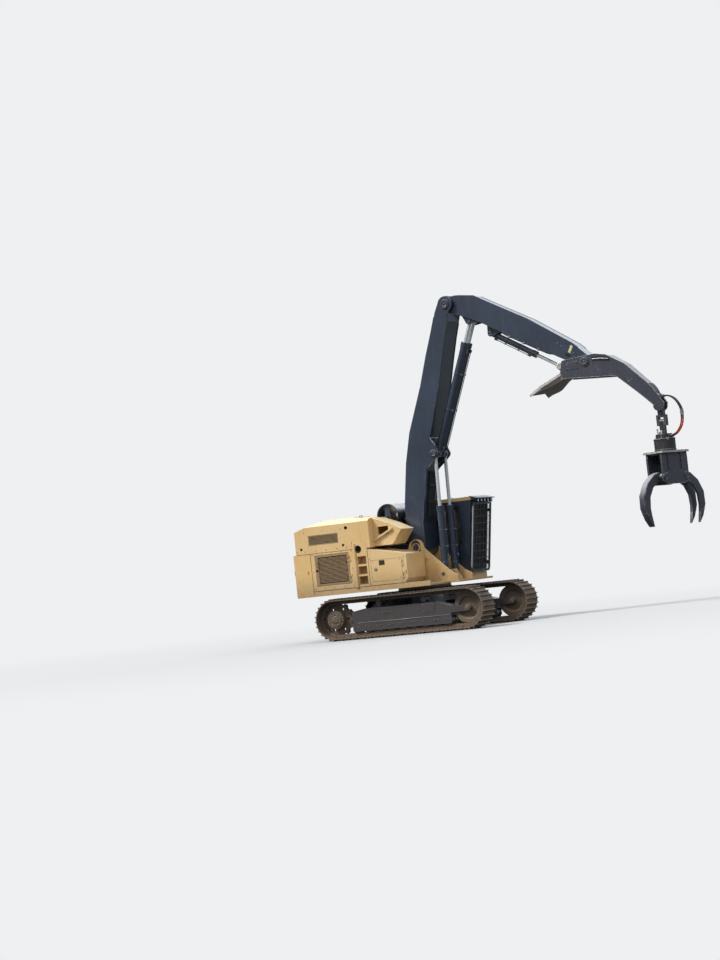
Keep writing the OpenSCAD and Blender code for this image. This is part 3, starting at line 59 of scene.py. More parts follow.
def buildCamera():
    yaw, tilt, roll = (math.radians(shot[k]) for k in ("yaw", "elevation", "roll"))
    right = Vector((math.cos(yaw), math.sin(yaw), 0))
    up = Vector((-math.sin(tilt) * math.sin(yaw), math.sin(tilt) * math.cos(yaw), math.cos(tilt)))
    back = right.cross(up)
    across = right * math.cos(roll) - up * math.sin(roll)
    above = right * math.sin(roll) + up * math.cos(roll)
    width, height = shot["picture"]
    stepRight = (width / 2 - shot["aimPixel"][0]) / shot["pixelsPerMetre"]
    stepUp = (shot["aimPixel"][1] - height / 2) / shot["pixelsPerMetre"]
    place = Vector(shot["aimPoint"]) + across * stepRight + above * stepUp + back * shot["distance"]
    lens = bpy.data.cameras.new("camera")
    lens.sensor_width = shot["sensor"]
    lens.lens = shot["pixelsPerMetre"] * shot["distance"] * shot["sensor"] / height
    lens.clip_end = 500
    camera = bpy.data.objects.new("camera", lens)
    bpy.context.scene.collection.objects.link(camera)
    camera.matrix_world = Matrix.Translation(place) @ Matrix((across, above, back)).transposed().to_4x4()
    bpy.context.scene.camera = camera


buildCamera()
print("camera set")


# Shader maths: a socket that adds, multiplies and so on by making Math nodes
class Field:
    def __init__(self, finish, socket):
        self.finish, self.socket = finish, socket

    def maths(self, operation, *others, clamp=False):
        settings = {"operation": operation, "use_clamp": clamp}
        return self.finish.node("ShaderNodeMath", settings, [self, *others])

    def __add__(self, other):
        return self.maths("ADD", other)

    def __mul__(self, other):
        return self.maths("MULTIPLY", other)

    def __sub__(self, other):
        return self.maths("SUBTRACT", other)

    def __rsub__(self, other):
        return self.finish.node("ShaderNodeMath", {"operation": "SUBTRACT"}, [other, self])

    __radd__, __rmul__ = __add__, __mul__

    def above(self, low, high):  # 0 below low, 1 above high, smooth between
        smooth = {"interpolation_type": "SMOOTHSTEP"}
        return self.finish.node("ShaderNodeMapRange", smooth, [self, low, high, 0, 1])

    def cap(self):
        return self.maths("ADD", 0, clamp=True)


class Finish:
    def __init__(self, name, colour, roughness, metallic=0, **fixed):
        self.material = bpy.data.materials.new(name)
        self.material.use_nodes = True
        self.tree = self.material.node_tree
        self.shader = self.tree.nodes["Principled BSDF"]
        self.set("Base Color", (*colour, 1))
        self.set("Roughness", roughness)
        self.set("Metallic", metallic)
        for socket, value in fixed.items():
            self.set(socket, value)
        self.place = self.node("ShaderNodeTexCoord", {}, [], "Object")

    @classmethod
    def wrap(cls, tree):  # for a tree that isn't a material's
        held = cls.__new__(cls)
        held.tree = tree
        return held

    def set(self, socket, value):
        self.shader.inputs[socket].default_value = value

    def feed(self, socket, field):
        self.tree.links.new(field.socket, self.shader.inputs[socket])

    def node(self, kind, settings, inputs, output=0):
        made = self.tree.nodes.new(kind)
        for key, value in settings.items():
            setattr(made, key, value)
        pairs = inputs.items() if isinstance(inputs, dict) else enumerate(inputs)
        for key, value in pairs:
            if isinstance(value, Field):
                self.tree.links.new(value.socket, made.inputs[key])
            else:
                made.inputs[key].default_value = value
        return Field(self, made.outputs[output])

    def noise(self, scale, detail=4, rough=0.55, stretch=None):
        where = self.place
        if stretch:
            where = self.node("ShaderNodeMapping", {}, {"Vector": self.place, "Scale": stretch})
        inputs = {"Vector": where, "Scale": scale, "Detail": detail, "Roughness": rough}
        return self.node("ShaderNodeTexNoise", {}, inputs)

    def mix(self, factor, first, second):
        first, second = (c if isinstance(c, Field) else (*c, 1) for c in (first, second))
        return self.node("ShaderNodeMix", {"data_type": "RGBA"}, {0: factor, 6: first, 7: second}, 2)

    def height(self):
        return self.node("ShaderNodeSeparateXYZ", {}, [self.place], 2)

    def upward(self):
        facing = self.node("ShaderNodeNewGeometry", {}, [], "Normal")
        return self.node("ShaderNodeSeparateXYZ", {}, [facing], 2)

    def edges(self, radius, low=0.01, high=0.09):  # 1 along outer and inner edges
        rounded = self.node("ShaderNodeBevel", {"samples": 4}, {"Radius": radius})
        facing = self.node("ShaderNodeNewGeometry", {}, [], "Normal")
        same = self.node("ShaderNodeVectorMath", {"operation": "DOT_PRODUCT"}, [rounded, facing], "Value")
        return (1 - same).above(low, high)

    def bump(self, field, strength, distance):
        inputs = {"Strength": strength, "Distance": distance, "Height": field}
        self.feed("Normal", self.node("ShaderNodeBump", {}, inputs))


def makePaint(name, look):
    paint = Finish(name, look["colour"], look["roughness"], **look.get("fixed", {}))
    broad = paint.noise(0.9, 5)
    grain = paint.noise(14, 6, 0.65)
    streaks = paint.noise(5, 5, 0.6, (6, 6, 0.35))
    fading = (broad.above(0.35, 0.7) * 0.6 + streaks.above(0.45, 0.75) * 0.4)
    colour = paint.mix(fading * look["fade"], look["colour"], look["faded"])
    grime = (streaks.above(0.5, 0.72) * grain.above(0.35, 0.65) * look["grime"]).cap()
    colour = paint.mix(grime, colour, look["dirt"])
    low = (1 - paint.height().above(*look["mudLine"])) * (0.35 + grain * 0.9) * look["mud"]
    colour = paint.mix(low.cap(), colour, look["dirt"])
    # Dust and painted sky light: up-facing faces get a paler layer, part real dust and part painted sky light
    # (bluish on the black paint)
    dustAndSkyLightMask = paint.upward().above(*look["dustFrom"]) * (0.35 + grain * 0.9) * look["dust"]
    colour = paint.mix(dustAndSkyLightMask.cap(), colour, look["dustColour"])
    # Bare edges: real wear, and on worn steel also a painted highlight along the tines' outer edges
    edge = (paint.edges(look["edge"]) * grain.above(0.42, 0.6) * look["wear"]).cap()
    chips = paint.noise(look["chipScale"], 8, 0.7).above(look["chips"], look["chips"] + 0.03)
    bare = (edge + chips).cap()
    colour = paint.mix(bare, colour, look["bare"])
    paint.feed("Base Color", colour)
    rough = look["roughness"] + grain * 0.22 + grime * 0.25 + bare * look["bareRough"]
    paint.feed("Roughness", rough.cap())
    paint.feed("Metallic", bare * look["bareMetal"])
    paint.bump(grain * 0.6 - bare * 0.5, 0.35, 0.002)
    return paint.material


# In these looks the dust keys set a paler layer on up-facing faces, part real dust and part painted sky light
yellowLook = {"colour": (0.74, 0.47, 0.185), "faded": (0.80, 0.60, 0.33), "fade": 0.85,
              "dirt": (0.22, 0.145, 0.08), "grime": 0.42, "mud": 0.7, "mudLine": (1.15, 1.9),
              "dustFrom": (0.35, 0.95), "dust": 0.75, "dustColour": (0.90, 0.77, 0.52), "edge": 0.010,
              "wear": 0.5, "chips": 0.715, "chipScale": 6, "bare": (0.18, 0.12, 0.08), "roughness": 0.36,
              "bareRough": 0.2, "bareMetal": 0.4, "fixed": {"Coat Weight": 0.3, "Coat Roughness": 0.2}}
blackLook = {"colour": (0.016, 0.026, 0.048), "faded": (0.036, 0.051, 0.084), "fade": 0.8,
             "dirt": (0.085, 0.062, 0.045), "grime": 0.3, "mud": 0.75, "mudLine": (0.9, 1.9),
             "dustFrom": (0.15, 0.8), "dust": 0.6, "dustColour": (0.62, 0.66, 0.72), "edge": 0.006,
             "wear": 0.7, "chips": 0.715, "chipScale": 5, "bare": (0.26, 0.24, 0.23), "roughness": 0.34,
             "bareRough": 0.05, "bareMetal": 0.6, "fixed": {"Coat Weight": 0.6, "Coat Roughness": 0.12}}
trackLook = {"colour": (0.075, 0.058, 0.047), "faded": (0.14, 0.090, 0.060), "fade": 0.9,
             "dirt": (0.18, 0.125, 0.080), "grime": 0.9, "mud": 0.7, "mudLine": (0.3, 1.3),
             "dustFrom": (0.35, 0.95), "dust": 0.5, "dustColour": (0.24, 0.18, 0.12), "edge": 0.01,
             "wear": 0.9, "chips": 0.72, "chipScale": 9, "bare": (0.42, 0.38, 0.35), "roughness": 0.6,
             "bareRough": -0.25, "bareMetal": 0.9}
# Worn steel: its bare edges are part real wear and part a painted highlight along the tines' outer edges
wornAndHighlightLook = {"colour": (0.030, 0.033, 0.048), "faded": (0.056, 0.060, 0.083), "fade": 1.0,
            "dirt": (0.085, 0.050, 0.034), "grime": 0.7, "mud": 0.0, "mudLine": (0.0, 0.1),
            "dustFrom": (0.15, 0.85), "dust": 0.65, "dustColour": (0.58, 0.58, 0.60), "edge": 0.014,
            "wear": 1.0, "chips": 0.65, "chipScale": 7, "bare": (0.46, 0.42, 0.40), "roughness": 0.42,
            "bareRough": -0.05, "bareMetal": 0.8}
meshLook = {"colour": (0.31, 0.20, 0.10), "faded": (0.37, 0.26, 0.14), "fade": 0.7,
            "dirt": (0.15, 0.10, 0.065), "grime": 0.7, "mud": 0.6, "mudLine": (1.2, 1.9),
            "dustFrom": (0.35, 0.95), "dust": 0.4, "dustColour": (0.38, 0.28, 0.18), "edge": 0.006,
            "wear": 0.3, "chips": 0.74, "chipScale": 8, "bare": (0.14, 0.10, 0.08), "roughness": 0.6,
            "bareRough": 0.1, "bareMetal": 0.3}


def makeRod():
    rod = Finish("rodChrome", (0.78, 0.79, 0.81), 0.12, 0.5)
    film = rod.noise(9, 4, 0.6, (1, 1, 4))
    rod.feed("Base Color", rod.mix(film.above(0.5, 0.8) * 0.35, (0.78, 0.79, 0.81), (0.42, 0.38, 0.33)))
    rod.feed("Roughness", 0.12 + film * 0.25)
    return rod.material


def makeGlass():
    fixed = {"IOR": 1.5, "Alpha": 0.74, "Coat Weight": 0.4}
    glass = Finish("tintedGlass", (0.05, 0.04, 0.042), 0.06, **fixed)
    dust = glass.noise(2.2, 5, 0.6)
    dustAndSkyLightMask = dust.above(0.42, 0.72) * 0.7
    glass.feed("Base Color", glass.mix(dustAndSkyLightMask, (0.035, 0.030, 0.034), (0.20, 0.125, 0.105)))
    glass.feed("Roughness", 0.05 + dust * 0.22)
    return glass.material


def makePlain(name, colour, roughness, metallic=0.0, variation=0.35, scale=20, bump=0.2, **fixed):
    plain = Finish(name, colour, roughness, metallic, **fixed)
    grain = plain.noise(scale, 6, 0.6)
    darker = tuple(c * (1 - variation) for c in colour)
    plain.feed("Base Color", plain.mix(grain.above(0.3, 0.75), darker, colour))
    plain.feed("Roughness", (roughness - 0.1 + grain * 0.25).cap())
    plain.bump(grain, bump, 0.001)
    return plain.material


def makeHose(name, colour):
    hose = Finish(name, colour, 0.55)
    wrap = hose.noise(60, 3, 0.5)
    scuffs = hose.noise(7, 5, 0.6).above(0.55, 0.8)
    paler = tuple(min(1, c * 2.2 + 0.03) for c in colour)
    hose.feed("Base Color", hose.mix(scuffs * 0.6, colour, paler))
    hose.feed("Roughness", 0.42 + wrap * 0.3)
    hose.bump(wrap, 0.3, 0.001)
    return hose.material


finishes = {
    "yellow_paint": makePaint("yellowPaint", yellowLook),
    "black_paint": makePaint("blackPaint", blackLook),
    "track_steel": makePaint("trackSteel", trackLook),
    "worn_steel": makePaint("wornSteel", wornAndHighlightLook),
    "mesh_paint": makePaint("meshPaint", meshLook),
    "rod_chrome": makeRod(),
    "dark_glass": makeGlass(),
    "seat_vinyl": makePlain("seatVinyl", (0.030, 0.030, 0.033), 0.6, scale=90),
}
rubberBlack = makeHose("hoseRubber", (0.018, 0.018, 0.019))
sleeveRed = makeHose("hoseSleeve", (0.42, 0.03, 0.02))
finishes["hose_rubber"] = rubberBlack
looks = {slot: ([finish], slot) for slot, finish in finishes.items()}
looks["sleeved_hose"] = ([rubberBlack, sleeveRed], "hose_rubber")

# Plain finishes: key, material, slot, colour, roughness, metallic, variation, grain's scale, bump and coat
plainRows = (
    ("bright", "brightSteel", "rod_chrome", (0.72, 0.71, 0.69), 0.4, 0.35, 0.3, 12, 0.2, 0),
    ("plate_edge", "edgeSteel", "worn_steel", (0.52, 0.50, 0.42), 0.5, 0.2, 0.4, 9, 0.2, 0),
    ("guard", "guardBlack", "black_paint", (0.020, 0.018, 0.019), 0.5, 0, 0.35, 40, 0.2, 0),
    ("pale", "paleMark", "worn_steel", (0.66, 0.67, 0.66), 0.55, 0, 0.35, 40, 0.2, 0),
    ("cream", "creamMark", "yellow_paint", (0.82, 0.74, 0.36), 0.5, 0, 0.35, 20, 0.2, 0),
    ("bolt", "boltSteel", "worn_steel", (0.38, 0.36, 0.34), 0.4, 0.6, 0.5, 30, 0.2, 0),
    ("lamp", "lampLens", "dark_glass", (0.75, 0.78, 0.8), 0.12, 0.3, 0.15, 8, 0.05, 0.6),
    ("seal", "sealRubber", "black_paint", (0.015, 0.015, 0.016), 0.75, 0, 0.35, 60, 0.2, 0),
    ("rust", "rustSteel", "worn_steel", (0.26, 0.10, 0.055), 0.65, 0.3, 0.45, 25, 0.2, 0),
    ("red", "lensRed", "black_paint", (0.45, 0.02, 0.015), 0.2, 0, 0.35, 8, 0.05, 0),
    ("amber", "lensAmber", "yellow_paint", (0.72, 0.22, 0.02), 0.25, 0, 0.35, 8, 0.05, 0),
    ("lining", "lining", "black_paint", (0.16, 0.105, 0.055), 0.85, 0, 0.35, 50, 0.2, 0),
    ("fins", "finSteel", "track_steel", (0.26, 0.17, 0.085), 0.6, 0.1, 0.3, 30, 0.2, 0))
for key, name, slot, colour, roughness, metallic, variation, scale, bump, coat in plainRows:
    plain = makePlain(name, colour, roughness, metallic, variation, scale, bump, **{"Coat Weight": coat})
    looks[key] = ([plain], slot)
looks["plated"] = (looks["bolt"][0], "rod_chrome")

# Nodes with a shade of their own: the bare jaw, the darker rotator, and the hose guard with more dust and painted
# sky light on its up-facing faces
darkRotator = {**wornAndHighlightLook, "colour": (0.012, 0.013, 0.018), "faded": (0.026, 0.026, 0.032)}
brownJaw = {**wornAndHighlightLook, "colour": (0.13, 0.10, 0.09), "faded": (0.26, 0.20, 0.17)}
nodeLooks = {"rotator": makePaint("rotatorPaint", darkRotator), "heel_jaw": makePaint("jawPaint", brownJaw),
             "hose_guard": makePaint("hoodedPaint", {**blackLook, "dustFrom": (0.1, 0.6), "dust": 0.9})}
looks["rotator"] = ([nodeLooks["rotator"]], "worn_steel")
for row in frame["record"]["subparts"]:
    part = nodes[row["node"]]
    look = nodeLooks.get(row["node"], finishes[row["material_slot"]])
    for held in part.material_slots:
        held.material = look
    if not part.material_slots:
        part.data.materials.append(look)
print("finishes on", len(nodes), "nodes")


stageLook = {"backdrop": (0.86, 0.87, 0.88), "horizon": (0.17, 0.205, 0.26), "sky": (0.90, 0.94, 1.0),
             "skyFrom": 0.03, "skyTo": 0.45, "floor": (0.50, 0.50, 0.495), "ground": (0.10, 0.11, 0.10),
             "radius": 70, "fadeFrom": 9, "fadeTo": 22}


lampRows = {"keyLamp": {"from": (-0.75, -0.85, 1.25), "energy": 2.9, "soft": 14, "colour": (1, 0.985, 0.96)},
            "fillLamp": {"from": (1.0, -0.3, 0.5), "energy": 0.15, "soft": 40, "colour": (0.95, 0.98, 1)},
            "backLamp": {"from": (0.3, 1.0, 0.7), "energy": 0.45, "soft": 40, "colour": (0.97, 0.98, 1)}}


def buildSky():  # the camera sees a plain backdrop, and paint and glass mirror a pale sky
    bpy.context.scene.view_settings.view_transform = "Standard"
    world = bpy.data.worlds.new("studio")
    bpy.context.scene.world = world
    world.use_nodes = True
    tree = world.node_tree
    air = tree.nodes["Background"]
    seen = Finish.wrap(tree)
    path = tree.nodes.new("ShaderNodeLightPath")
    camera, through = (Field(seen, path.outputs[key]) for key in ("Is Camera Ray", "Is Transmission Ray"))
    direct = (camera + through).cap()
    looking = seen.node("ShaderNodeTexCoord", {}, [], "Generated")
    height = seen.node("ShaderNodeSeparateXYZ", {}, [looking], 2)
    rise = height.above(stageLook["skyFrom"], stageLook["skyTo"])
    sky = seen.mix(rise, stageLook["horizon"], stageLook["sky"])
    tree.links.new(seen.mix(direct, sky, stageLook["backdrop"]).socket, air.inputs["Color"])


def buildFloor():
    bm = bmesh.new()
    bmesh.ops.create_circle(bm, cap_ends=True, segments=96, radius=stageLook["radius"],
                            matrix=Matrix.Translation((0, 0, -0.002)))
    mesh = bpy.data.meshes.new("floor")
    bm.to_mesh(mesh)
    floor = bpy.data.objects.new("floor", mesh)
    bpy.context.scene.collection.objects.link(floor)
    ground = Finish("floorPaint", stageLook["floor"], 0.9)
    ground.set("Specular IOR Level", 0.1)
    glow = ground.node("ShaderNodeEmission", {}, {"Color": (*stageLook["backdrop"], 1)}, "Emission")
    away = ground.node("ShaderNodeVectorMath", {"operation": "LENGTH"}, [ground.place], "Value")
    plain = Field(ground, ground.shader.outputs["BSDF"])
    fade = away.above(stageLook["fadeFrom"], stageLook["fadeTo"])
    faded = ground.node("ShaderNodeMixShader", {}, [fade, plain, glow])
    # what the machine reflects is dark ground, where the camera sees the pale floor
    dark = ground.node("ShaderNodeBsdfDiffuse", {}, {"Color": (*stageLook["ground"], 1)}, "BSDF")
    seenFloor = ground.node("ShaderNodeLightPath", {}, [], "Is Camera Ray")
    faded = ground.node("ShaderNodeMixShader", {}, [seenFloor, dark, faded])
    ground.tree.links.new(faded.socket, ground.tree.nodes["Material Output"].inputs["Surface"])
    mesh.materials.append(ground.material)


def buildSuns():
    for name, row in lampRows.items():
        lamp = bpy.data.lights.new(name, "SUN")
        lamp.energy, lamp.angle, lamp.color = row["energy"], math.radians(row["soft"]), row["colour"]
        held = bpy.data.objects.new(name, lamp)
        bpy.context.scene.collection.objects.link(held)
        held.rotation_euler = Vector(row["from"]).to_track_quat("Z", "Y").to_euler()


buildSky()
buildFloor()
buildSuns()
print("stage and lamps set")


def around(count, radius, first=0.5):  # points spaced round a circle
    turns = [math.tau * (k + first) / count for k in range(count)]
    return [(radius * math.cos(t), radius * math.sin(t)) for t in turns]


# Mesh maker: shapes are added in a local frame, then become one piece on a body
class Build:
    def __init__(self, local=None):
        self.bm, self.local = bmesh.new(), local or Matrix()

    def at(self, local):
        self.local = local
        return self

    def block(self, low, high):
        low, high = Vector(low), Vector(high)
        spot = Matrix.Translation((low + high) / 2) @ Matrix.Diagonal((*(high - low), 1))
        bmesh.ops.create_cube(self.bm, size=1, matrix=self.local @ spot)

    def rod(self, start, end, radius, sides=16, tip=None):
        start, end = self.local @ Vector(start), self.local @ Vector(end)
        line = end - start
        spot = Matrix.Translation((start + end) / 2) @ line.to_track_quat("Z", "Y").to_matrix().to_4x4()
        bmesh.ops.create_cone(self.bm, cap_ends=True, segments=sides, radius1=radius,
                              radius2=radius if tip is None else tip, depth=line.length, matrix=spot)

    def bolt(self, spot, outward, radius, height, sides=12):
        spot, outward = Vector(spot), Vector(outward).normalized()
        self.rod(spot - outward * 0.002, spot + outward * height * 0.3, radius * 1.45, sides)
        self.rod(spot, spot + outward * height, radius, 6)

    def plate(self, outline, near, far):
        ring = [self.bm.verts.new(self.local @ Vector((x, near, z))) for x, z in outline]
        grown = bmesh.ops.extrude_face_region(self.bm, geom=[self.bm.faces.new(ring)])
        move = self.local.to_3x3() @ Vector((0, far - near, 0))
        verts = [v for v in grown["geom"] if isinstance(v, bmesh.types.BMVert)]
        bmesh.ops.translate(self.bm, verts=verts, vec=move)

    def strip(self, points, drop, thick):  # flat bar along points, its width along drop
        drop = self.local.to_3x3() @ Vector(drop)
        points = [self.local @ Vector(p) for p in points]
        rings = []
        for i, spot in enumerate(points):
            ahead = points[min(i + 1, len(points) - 1)] - points[max(i - 1, 0)]
            out = ahead.cross(drop).normalized() * thick
            corners = (spot - out, spot + out, spot + drop + out, spot + drop - out)
            rings.append([self.bm.verts.new(v) for v in corners])
        for first, second in zip(rings, rings[1:]):
            for k in range(4):
                self.bm.faces.new((first[k], first[k - 3], second[k - 3], second[k]))
        self.bm.faces.new(rings[0][::-1])
        self.bm.faces.new(rings[-1])

    def turned(self, centre, axis, profile, sides=32):
        turn = Vector(axis).to_track_quat("Z", "Y").to_matrix().to_4x4()
        spot = self.local @ Matrix.Translation(centre) @ turn
        profile = list(profile)
        if profile[0][0] == 0 and profile[-1][0] > 0:
            profile.append((0, profile[-1][1]))
        made = [self.bm.verts.new(spot @ Vector((r, 0, h))) for r, h in profile]
        ends = made[:1] if profile[0][0] > 0 else []  # a ring's profile closes on itself
        edges = [self.bm.edges.new(pair) for pair in zip(made, made[1:] + ends)]
        bmesh.ops.spin(self.bm, geom=made + edges, cent=spot.translation, axis=spot.to_3x3() @ axisZ,
                       angle=math.tau, steps=sides, use_merge=True)
        bmesh.ops.remove_doubles(self.bm, verts=self.bm.verts, dist=1e-5)

    def tube(self, points, radius, sides=8, sleeve=None):  # sleeve: the rings with the second finish
        points = [self.local @ Vector(p) for p in points]
        rings, side = [], None
        for i, spot in enumerate(points):
            ahead = (points[min(i + 1, len(points) - 1)] - points[max(i - 1, 0)]).normalized()
            side = (side - ahead * side.dot(ahead)).normalized() if side else ahead.orthogonal().normalized()
            across = ahead.cross(side)
            turns = [math.tau * k / sides for k in range(sides)]
            ring = [spot + (side * math.cos(t) + across * math.sin(t)) * radius for t in turns]
            rings.append([self.bm.verts.new(v) for v in ring])
        for i, (first, second) in enumerate(zip(rings, rings[1:])):
            for k in range(sides):
                after = (k + 1) % sides
                face = self.bm.faces.new((first[k], first[after], second[after], second[k]))
                if sleeve and i in sleeve:
                    face.material_index = 1
        self.bm.faces.new(rings[0][::-1])
        self.bm.faces.new(rings[-1])

    def slab(self, axis, depth, low, high):  # a block flat across axis, low and high in the other two
        low, high = list(low), list(high)
        low.insert(axis, depth[0])
        high.insert(axis, depth[1])
        self.block(low, high)

    def frameOf(self, low, high, width, axis, depth):  # four bars round a rectangle
        (a0, b0), (a1, b1) = low, high
        for start, end in (((a0 - width, b0 - width), (a1 + width, b0)), ((a0 - width, b0), (a0, b1)),
                           ((a0 - width, b1), (a1 + width, b1 + width)), ((a1, b0), (a1 + width, b1))):
            self.slab(axis, depth, start, end)

    def boltRing(self, centre, outward, count, radius, size, height, first=0.5):
        across, up = axisY if outward[0] else axisX, axisY if outward[2] else axisZ
        for x, y in around(count, radius, first):
            self.bolt(Vector(centre) + across * x + up * y, outward, size, height)

    def eye(self, centre, foot, shoulder, top, radius, axis=1):  # a bent bar, each height over centre
        def spot(reach, rise):
            point = Vector(centre) + Vector((0, 0, rise))
            point[axis] += reach
            return point
        (a, low), (b, mid) = foot, shoulder
        self.tube([spot(-a, low), spot(-b, mid), spot(0, top), spot(b, mid), spot(a, low)], radius)

    # Pin's end: a turned cap with a grease nipple, held by a keeper plate with two bolts
    def pin(self, spot, outward, radius, keeper):
        spot, outward = Vector(spot), Vector(outward).normalized()
        profile = [(0, 0.012), (0.2, 0.012), (0.25, 0.006), (0.72, 0.006), (0.78, 0.014), (0.95, 0.014),
                   (1, 0.008), (1, -0.004)]
        self.turned(spot, outward, [(r * radius, h) for r, h in profile], 36)
        self.rod(spot, spot + outward * 0.022, 0.006, 8)
        way = (Vector(keeper) - outward * Vector(keeper).dot(outward)).normalized()
        kept = self.local
        turn = Matrix((outward.cross(way), way, outward)).transposed().to_4x4()
        self.at(kept @ Matrix.Translation(spot) @ turn)
        self.block((-radius * 0.55, radius * 0.62, 0.004), (radius * 0.55, radius * 1.25, 0.016))
        for side in bothSides:
            self.bolt((side * radius * 0.36, radius * 1.08, 0.016), axisZ, min(0.012, radius * 0.16), 0.010)
        self.at(kept)

    def pins(self, rows):  # on both sides: x, distance from the middle, z, radius and the keeper's way
        for x, y, z, radius, keeper in rows:
            for side in bothSides:
                self.pin((x, side * y, z), (0, side, 0), radius, keeper)

    def plates(self, outline, near, far):  # the same on both sides, as in the next three
        for side in bothSides:
            self.plate(outline, side * near, side * far)

    def tubes(self, points, radius, sides=6):
        for side in bothSides:
            self.tube([(x, side * y, z) for x, y, z in points], radius, sides)

    def discs(self, x, y, z, profile, sides):
        for side in bothSides:
            self.turned((x, side * y, z), (0, side, 0), profile, sides)

    def bolts(self, places, y, radius, height):
        for side in bothSides:
            for x, z in places:
                self.bolt((x, side * y, z), (0, side, 0), radius, height)

    def piece(self, name, body, look, bevel=0.0, rings=2, angle=38):
        finish, slot = looks[look]
        bmesh.ops.recalc_face_normals(self.bm, faces=self.bm.faces)
        if bevel:
            sharp = [e for e in self.bm.edges if len(e.link_faces) == 2 and e.calc_face_angle() > 0.7]
            bmesh.ops.bevel(self.bm, geom=sharp, offset=bevel, segments=rings, profile=0.5, affect="EDGES",
                            material=-1, clamp_overlap=True)
            bmesh.ops.dissolve_degenerate(self.bm, dist=2e-5, edges=self.bm.edges)
        mesh = bpy.data.meshes.new(name)
        self.bm.to_mesh(mesh)
        self.bm.free()
        for face in mesh.polygons:
            face.use_smooth = True
        mesh.set_sharp_from_angle(angle=math.radians(angle))
        for one in finish:
            mesh.materials.append(one)
        made = bpy.data.objects.new(name, mesh)
        bpy.context.scene.collection.objects.link(made)
        if body:
            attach(made, body)
        return made


def placed(spot, degrees=0, axis="Y"):
    return Matrix.Translation(spot) @ Matrix.Rotation(math.radians(degrees), 4, axis)


def lineFrame(start, end):  # x from start to end, z up from it
    run = end - start
    return placed(start, -math.degrees(math.atan2(run.z, run.x)))


def smoothPath(points, parts=3):  # Catmull-Rom through the points, which may be (x, z) pairs
    points = [Vector(p) if len(p) == 3 else Vector((p[0], 0, p[1])) for p in points]
    out = []
    for i in range(len(points) - 1):
        a, b, c, d = (points[max(0, min(len(points) - 1, i + k))] for k in (-1, 0, 1, 2))
        for t in (k / parts for k in range(parts)):
            out.append(0.5 * (2 * b + (c - a) * t + (2 * a - 5 * b + 4 * c - d) * t * t
                              + (3 * b - a - 3 * c + d) * t ** 3))
    return out + [points[-1]]


def sideways(path, y):
    return [p + axisY * y for p in path]


def arcAt(centre, radius, y, step=15, turn=(0, 361)):  # points of an arc at one y
    angles = [math.radians(a) for a in range(*turn, step)]
    x, z = centre
    return [(x + radius * math.cos(a), y, z + radius * math.sin(a)) for a in angles]


def ringProfile(inner, outer, low, high, soft=0.002):
    return [(inner, low), (outer - soft, low), (outer, low + soft),
            (outer, high - soft), (outer - soft, high), (inner, high)]


footPin, knucklePin, heelPin = pinAt["boom_lift"], pinAt["stick_fold"], pinAt["heel_tilt"]
neckPin, headTop, boomLug = pinAt["link_pitch"], pinAt["grapple_turn"], pinAt["stick_cylinder_pivot"]
boomAngle, stickAngle, headTurn = 76.05, -28.96, 73.0
boomArm, stickArm, heelArm = placed(footPin, -boomAngle), placed(knucklePin, -stickAngle), placed(heelPin)
headFrame = placed(headTop, headTurn, "Z")
stickLug = {"along": 0.736, "under": -0.178}
heelLug = {"behind": -0.777, "under": -0.006}
hoistLine = lineFrame(pinAt["hoist_pivot"], boomLug)
stickLine = lineFrame(boomLug, stickArm @ Vector((stickLug["along"], 0, stickLug["under"])))
heelLine = lineFrame(pinAt["heel_cylinder_pivot"], heelPin + Vector((heelLug["behind"], 0, heelLug["under"])))

# Cords: the rotator's hoses in two lengths and the boom's hoses, by (x, z) in millimetres from a pin
hoseRadius = 0.019
neckRoute = [(130, 235), (170, 234), (210, 228), (250, 216), (290, 198), (330, 173), (365, 144), (400, 108),
             (430, 68), (458, 23), (482, -25), (503, -75), (519, -125), (530, -175), (530, -225)]
turnRoute = [(530, -225), (530, -270), (529, -315), (526, -360), (520, -405), (511, -450), (498, -495),
             (481, -540), (459, -582), (432, -622), (401, -660), (366, -696),
             (329, -725), (290, -746), (250, -758)]
footRoute = [(-700, 500), (-700, 440), (-700, 380), (-694, 320), (-675, 263), (-644, 212), (-601, 173),
             (-549, 151), (-493, 148), (-438, 161), (-389, 191), (-350, 234), (-322, 287), (-307, 345),
             (-304, 410), (-312, 480), (-322, 550), (-330, 620), (-332, 690), (-328, 760), (-318, 830),
             (-305, 900), (-292, 970), (-279, 1035), (-268, 1096)]
hoseRows = {
    "neck_hose": {"piece": "neckHose", "pin": neckPin, "route": neckRoute, "y": 0.060,
                  "bodies": ("heel", "upper_link"), "bend": (0, 14), "end": "fitting"},
    "turn_hose": {"piece": "turnHose", "pin": neckPin, "route": turnRoute, "y": 0.060,
                  "bodies": ("upper_link", "rotator"), "bend": (0, 14), "end": "object",
                  "sleeve": range(7, 24)},
    "foot_hose": {"piece": "footHose", "pin": footPin, "route": footRoute, "y": 0.1125,
                  "bodies": ("house", "boom"), "bend": (8, 24), "end": "object"}}
jointHalf = [(0.0195, -0.075), (0.0235, -0.072), (0.0235, -0.03), (0.021, -0.026)]
cordLengths = {}


def buildHoseJoint(side, spot):
    joint = Build(placed(spot))
    joint.turned((0, 0, 0), axisZ, jointHalf + [(r, -h) for r, h in jointHalf[::-1]], 20)
    joint.rod((0, 0, -0.022), (0, 0, 0.022), 0.029, 6)
    return joint.piece("hoseJoint" + side.title(), "upper_link", "bolt", 0.0015)


